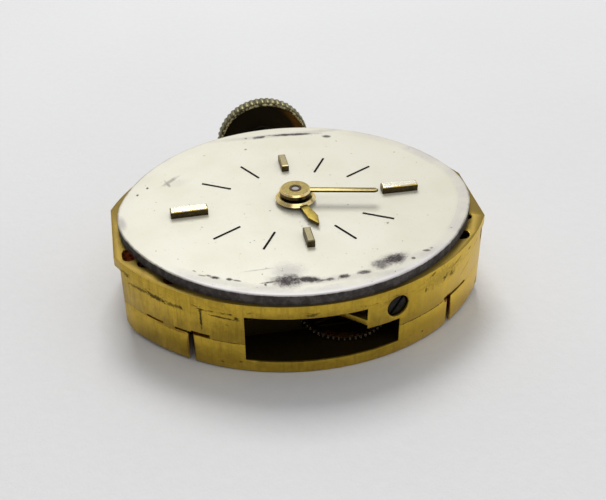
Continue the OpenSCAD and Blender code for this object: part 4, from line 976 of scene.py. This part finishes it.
def makeBatons(values):
    parts = []
    top = (movement["dialTop"] + values["height"]) * mm
    for inner, length, width, turn, flat, slope, frontSlope in values["places"]:
        middle = (movement["dialTop"] + values["height"] / 2) * mm
        bpy.ops.mesh.primitive_cube_add(size=1, location=((inner + length / 2) * mm, 0, middle))
        bar = bpy.context.active_object
        bar.scale = (length * mm, width * mm, values["height"] * mm)
        shiftInMesh(bar)
        editSelect(bar, edgesWhere=lambda edge: all(v.co.z > top - 1e-6 for v in edge.verts))
        bevelSelected(values["chamfer"], 1)
        bevelEdges(bar, values["softEdge"], 2, 30)
        bar.data.transform(Matrix.Rotation(math.radians(turn), 4, "Z"))
        finishes = [flat, "batonSideShade", "goldPolish", "goldBevelHighlight"]
        wear(bar, *finishes)
        # Lit and shaded copies of the gold, by the way each face turns: painted highlights and
        # painted shade
        for face in bar.data.polygons:
            if face.normal.z > flatFrom:
                finish = flat
            elif face.normal.z > slantFrom:
                finish = frontSlope if face.normal.y < -0.4 else slope
            else:
                finish = "batonSideShade"
            face.material_index = finishes.index(finish)
        parts.append(bar)
    bars = joinAs("hourBars", parts)
    smoothBy(bars, 12)
    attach(bars, "plate")
    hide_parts("hour_batons")


makeBatons(batons)
print("batons made")


# Hands

hands = {
    "minuteHandPiece": {
        "node": "minute_hand", "body": "centre", "turn": -12,
        "bottom": 3.80, "top": 4.065, "bore": 0.24, "boss": 0.62, "chamfer": 0.065,
        "bladeBottom": 3.95, "bladeTop": 4.03, "ridge": 0.025, "steps": 96, "softEdge": 0.006,
        "flat": "goldTop", "shaded": "goldBlade",
        # Distance from the axis, half width
        "outline": [(0.45, 0.13), (3.12, 0.125), (3.21, 0.09), (3.25, 0.03)]},
    "hourHandPiece": {
        "node": "hour_hand", "body": "hour", "turn": -75.5,
        "bottom": 3.52, "top": 3.76, "bore": 0.40, "boss": 0.80, "chamfer": 0.118,
        "bladeBottom": 3.55, "bladeTop": 3.69, "ridge": 0.012, "steps": 96, "softEdge": 0.006,
        "flat": "goldWarm", "shaded": "goldWarm",
        "outline": [(0.55, 0.15), (1.62, 0.205), (2.09, 0.03)]},
}


def makeBoss(name, values):
    # A washer with chamfered rims
    rings = [circleAt(values[key], values["steps"], values["bottom"]) for key in ("boss", "bore")]
    boss = joinAs(name, rings)
    editSelect(boss)
    selectAll()
    bpy.ops.mesh.bridge_edge_loops()
    selectAll()
    extrudeUp((values["top"] - values["bottom"]) * mm)
    editDone()
    outward(boss)
    rimRadius = values["boss"] * mm * 0.99
    editSelect(boss, edgesWhere=lambda edge: all(v.co.xy.length > rimRadius for v in edge.verts)
               and abs(edge.verts[0].co.z - edge.verts[1].co.z) < 1e-7)
    bevelSelected(values["chamfer"], 1)
    return boss


def makeBlade(values):
    # A thin bar with a ridge along its middle
    outline = values["outline"]
    first, last = outline[0][0], outline[-1][0]
    middle = (values["bladeBottom"] + values["bladeTop"]) / 2 * mm
    bpy.ops.mesh.primitive_cube_add(size=1, location=((first + last) / 2 * mm, 0, middle))
    blade = bpy.context.active_object
    height = values["bladeTop"] - values["bladeBottom"]
    blade.scale = ((last - first) * mm, 1 * mm, height * mm)
    shiftInMesh(blade)
    editSelect(blade)
    for at, _ in outline[1:-1]:
        selectAll()
        bpy.ops.mesh.bisect(plane_co=(at * mm, 0, 0), plane_no=(1, 0, 0))
    selectAll()
    bpy.ops.mesh.bisect(plane_co=(0, 0, 0), plane_no=(0, 1, 0))
    editDone()
    for vertex in blade.data.vertices:
        half = min(outline, key=lambda place: abs(place[0] * mm - vertex.co.x))[1]
        if abs(vertex.co.y) > 1e-6:
            vertex.co.y = math.copysign(half * mm, vertex.co.y)
        elif vertex.co.z > middle:
            vertex.co.z += values["ridge"] * mm * (0.3 if half < 0.03 else 1)
    outward(blade)
    return blade


def makeHand(name, values):
    parts = [makeBoss(name + "Boss", values), makeBlade(values)]
    for part in parts:
        bevelEdges(part, values["softEdge"], 1, 30)
    hand = joinAs(name, parts)
    hand.data.transform(Matrix.Rotation(math.radians(values["turn"]), 4, "Z"))
    finishes = ["goldBevelHighlight", "goldSideShade", "goldWarm", "goldTop", "goldBlade"]
    wear(hand, *finishes)
    # Lit and shaded copies of the gold, by the way each face turns: a painted highlight on the
    # boss's chamfers, painted shade on the sides and flats
    for face in hand.data.polygons:
        onBoss = face.center.xy.length < values["boss"] * mm
        if face.normal.z < slantFrom:
            finish = "goldSideShade"
        elif onBoss and face.normal.z < flatFrom:
            finish = "goldBevelHighlight"
        else:
            finish = values["shaded" if not onBoss and face.normal.y < -0.05 else "flat"]
        face.material_index = finishes.index(finish)
    smoothBy(hand, 20)
    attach(hand, values["body"])
    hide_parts(values["node"])


for name, values in hands.items():
    makeHand(name, values)
print("hands made")


# Crown

crown = {
    "knurls": 52,
    "perKnurl": 8,
    "depth": 0.05,
    "ridge": (1, 1, 0.85, 0.3, 0, 0, 0.3, 0.85),
    # Along the stem, radius, share of the knurling
    "rings": [
        (9.40, 0.45, 0), (8.37, 0.45, 0), (8.35, 0.47, 0), (8.35, 0.60, 0), (8.37, 0.62, 0),
        (8.86, 0.62, 0), (8.90, 0.67, 0), (8.90, 1.90, 0), (8.86, 1.95, 0), (8.42, 1.96, 0),
        (8.38, 1.97, 0), (8.36, 1.99, 0.1), (8.35, 2.03, 0.5), (8.36, 2.08, 0.9),
        (8.39, 2.12, 1), (8.44, 2.15, 1), (8.50, 2.16, 1), (8.86, 2.16, 1), (8.92, 2.13, 0.8),
        (8.98, 2.07, 0.2), (9.06, 2.00, 0), (9.3, 1.81, 0), (9.55, 1.61, 0), (9.72, 1.48, 0),
        (9.83, 1.34, 0), (9.89, 1.17, 0), (9.90, 1.0, 0), (9.90, 0.4, 0)],
}


def makeCrown(values):
    count = values["knurls"] * values["perKnurl"]
    piece = circleAt(values["rings"][0][1], count, 0)
    piece.name = "crownPiece"

    def placeSelected(mesh, along, radius, share):
        for vertex in mesh.verts:
            if vertex.select:
                angle = math.atan2(vertex.co.y, vertex.co.x)
                step = round(angle / (2 * math.pi) * count) % values["perKnurl"]
                out = radius - values["depth"] * share * (1 - values["ridge"][step])
                vertex.co = (out * mm * math.cos(angle), out * mm * math.sin(angle), along * mm)

    editSelect(piece)
    bpy.ops.mesh.select_mode(type="EDGE")
    selectAll()
    bpy.ops.mesh.edge_face_add()
    selectAll()
    mesh = bmesh.from_edit_mesh(piece.data)
    placeSelected(mesh, *values["rings"][0])
    for ring in values["rings"][1:]:
        bpy.ops.mesh.extrude_region_move()
        mesh = bmesh.from_edit_mesh(piece.data)
        placeSelected(mesh, *ring)
        bmesh.update_edit_mesh(piece.data)
    editDone()
    # The profile was built up along Z, and is laid along the stem
    piece.data.transform(Matrix.Translation((0, 0, movement["stemHeight"] * mm))
                         @ Matrix.Rotation(math.radians(-90), 4, "X"))
    outward(piece)
    wear(piece, "crownTarnish")
    smoothBy(piece, 35)
    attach(piece, "stem")
    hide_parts("crown")


makeCrown(crown)
print("crown made")


# Dial-foot screws in the side wall

sideScrews = {
    "node": "dial_foot_screws",
    "angle": -70.7,
    "level": 2.21,
    "sink": 0.1,
    "head": 0.42,
    "thick": 0.22,
    "shank": 0.2,
    "reach": 0.25,
    "slotWidth": 0.13,
    "slotDepth": 0.12,
    "slotTurn": 40,
    "slotRim": 0.05,
    "chamfer": 0.04,
}


def makeSideScrew(values, half):
    # Built with its head's face down at the origin, then set in the wall
    head, thick = values["head"], values["thick"]
    bpy.ops.mesh.primitive_cylinder_add(vertices=64, radius=head * mm, depth=thick * mm,
                                        location=(0, 0, thick / 2 * mm))
    screw = bpy.context.active_object
    shiftInMesh(screw)
    editSelect(screw, edgesWhere=lambda edge: all(v.co.z < 1e-7 for v in edge.verts))
    bevelSelected(values["chamfer"], 3)
    editSelect(screw, facesWhere=lambda face: face.normal.z > 0.9)
    bpy.ops.mesh.inset(thickness=(head - values["shank"]) * mm, depth=0)
    extrudeUp(values["reach"] * mm)
    editDone()
    bpy.ops.mesh.primitive_cube_add(size=1)
    slot = bpy.context.active_object
    slot.scale = (2 * mm, values["slotWidth"] * mm, 2 * values["slotDepth"] * mm)
    slot.rotation_euler = (0, 0, math.radians(values["slotTurn"]))
    shiftInMesh(slot)
    applyModifier(screw, "BOOLEAN", operation="DIFFERENCE", object=slot, solver="EXACT")
    bpy.data.objects.remove(slot)
    wear(screw, "darkSteel", "slotSteelReflection")
    # The slot is painted lighter than the dark face, as a painted reflection
    for face in screw.data.polygons:
        inSlot = 0.01 * mm < face.center.z < (values["slotDepth"] + 0.01) * mm
        onFace = face.center.xy.length < (head - values["slotRim"]) * mm
        face.material_index = int(inSlot and onFace)
    radius = movement["sideRadius"] - values["sink"]
    angle = math.radians(values["angle"])
    place = Vector((radius * math.cos(angle),
                    movement["sideCentre"] + radius * math.sin(angle), values["level"]))
    screw.data.transform(Matrix.Rotation(math.radians(half), 4, "Z")
                         @ Matrix.Translation(place * mm)
                         @ Matrix.Rotation(angle + math.pi, 4, "Z")
                         @ Matrix.Rotation(math.pi / 2, 4, "Y"))
    return screw


def makeSideScrews(values):
    screws = joinAs("sideScrews", [makeSideScrew(values, half) for half in (0, 180)])
    smoothBy(screws, 30)
    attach(screws, "plate")
    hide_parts(values["node"])


makeSideScrews(sideScrews)
print("side screws made")


# Floor, light and camera

# The movement leans on its front edge and on the crown. Front, back, drop and gap are in
# millimetres, size and shift in metres
table = {
    "size": 3.0,
    "front": -6.15,
    "back": 9.2,
    "drop": -0.76,
    "gap": 0.002,
    "shift": 0.05,
    "dark": (0.665, 0.665, 0.665),
    "light": (0.78, 0.78, 0.78),
    "roughness": 0.7,
}


def makeFloorFinish(name, values):
    tree, shader, at = startFinish(name)
    cloud = noise(tree, at, 0.05, 3, 0.5)
    fine = noise(tree, at, 2.2, 4, 0.7)
    tone = plus(tree, times(tree, cloud, 0.6), times(tree, fine, 0.4))
    colour = blendColours(tree, tone, values["dark"], values["light"])
    tree.links.new(colour, shader.inputs["Base Color"])
    shader.inputs["Roughness"].default_value = values["roughness"]
    bumpFrom(tree, shader, fine, 0.02)


makeFloorFinish("paleTable", table)
bpy.ops.mesh.primitive_grid_add(x_subdivisions=8, y_subdivisions=8, size=table["size"])
floor = bpy.context.active_object
floor.name = "tableTop"
tilt = math.atan2(table["drop"], table["back"] - table["front"])
floor.matrix_world = (Matrix.Translation((0, table["front"] * mm, -table["gap"] * mm))
                      @ Matrix.Rotation(tilt, 4, "X")
                      @ Matrix.Translation((0, table["shift"], 0)))
wear(floor, "paleTable")

# The sky is dark at the front left and bright at the back right
studio = {
    "dark": (0.29, 0.29, 0.295),
    "bright": (0.86, 0.86, 0.87),
    "fade": (-1.0, 0.75),
    "rightward": 0.9,
    "sideways": 0.22,
    "strength": 0.8,
}
world = bpy.data.worlds.new("studio")
bpy.context.scene.world = world
world.use_nodes = True
worldTree = world.node_tree
background = worldTree.nodes["Background"]
direction = worldTree.nodes.new("ShaderNodeTexCoord")
toRight, toBack, upward = axes(worldTree, direction.outputs["Generated"])
lean = plus(worldTree, toBack, times(worldTree, toRight, studio["rightward"]))
sideways = times(worldTree, absolute(worldTree, toRight), studio["sideways"])
lean = stepBetween(worldTree, plus(worldTree, lean, sideways), *studio["fade"])
sky = blendColours(worldTree, lean, studio["dark"], studio["bright"])
worldTree.links.new(sky, background.inputs["Color"])
background.inputs["Strength"].default_value = studio["strength"]

# Places and sizes in metres
lamps = {
    "backKey": {"place": (0.01, 0.17, 0.21), "size": (0.11, 0.11), "power": 0.40},
    "frontLamp": {"place": (0.0, -0.105, 0.165), "size": (0.15, 0.05), "power": 0.042},
}
for name, values in lamps.items():
    data = bpy.data.lights.new(name, "AREA")
    data.shape = "RECTANGLE"
    data.size, data.size_y = values["size"]
    data.energy = values["power"]
    lamp = bpy.data.objects.new(name, data)
    bpy.context.scene.collection.objects.link(lamp)
    lamp.location = values["place"]
    lamp.rotation_euler = (-Vector(values["place"])).to_track_quat("-Z", "Y").to_euler()

# Angles in degrees, target and distance in millimetres, focal and imageWidth in pixels
view = {
    "azimuth": -10.448,
    "elevation": 35.306,
    "roll": -0.542,
    "target": (-0.337, -3.364, 3.47),
    "distance": 37.035,
    "focal": 1004.9,
    "imageWidth": 606,
    "sensor": 36,
}
azimuth, elevation, roll = (math.radians(view[key]) for key in ("azimuth", "elevation", "roll"))
back = Vector((math.sin(azimuth) * math.cos(elevation),
               -math.cos(azimuth) * math.cos(elevation), math.sin(elevation)))
flatX = Vector((0, 0, 1)).cross(back).normalized()
flatY = back.cross(flatX)
camX = math.cos(roll) * flatX + math.sin(roll) * flatY
camY = -math.sin(roll) * flatX + math.cos(roll) * flatY
cameraData = bpy.data.cameras.new("photoView")
cameraData.sensor_width = view["sensor"]
cameraData.sensor_fit = "HORIZONTAL"
cameraData.lens = view["focal"] / view["imageWidth"] * view["sensor"]
cameraData.clip_start = 0.001
cameraData.clip_end = 10
camera = bpy.data.objects.new("photoView", cameraData)
bpy.context.scene.collection.objects.link(camera)
spot = (Vector(view["target"]) + view["distance"] * back) * mm
camera.matrix_world = Matrix((
    (camX.x, camY.x, back.x, spot.x),
    (camX.y, camY.y, back.y, spot.y),
    (camX.z, camY.z, back.z, spot.z),
    (0, 0, 0, 1)))
bpy.context.scene.camera = camera
bpy.context.scene.view_settings.view_transform = "Standard"
print("stage, light and camera set")

bpy.ops.object.select_all(action="DESELECT")
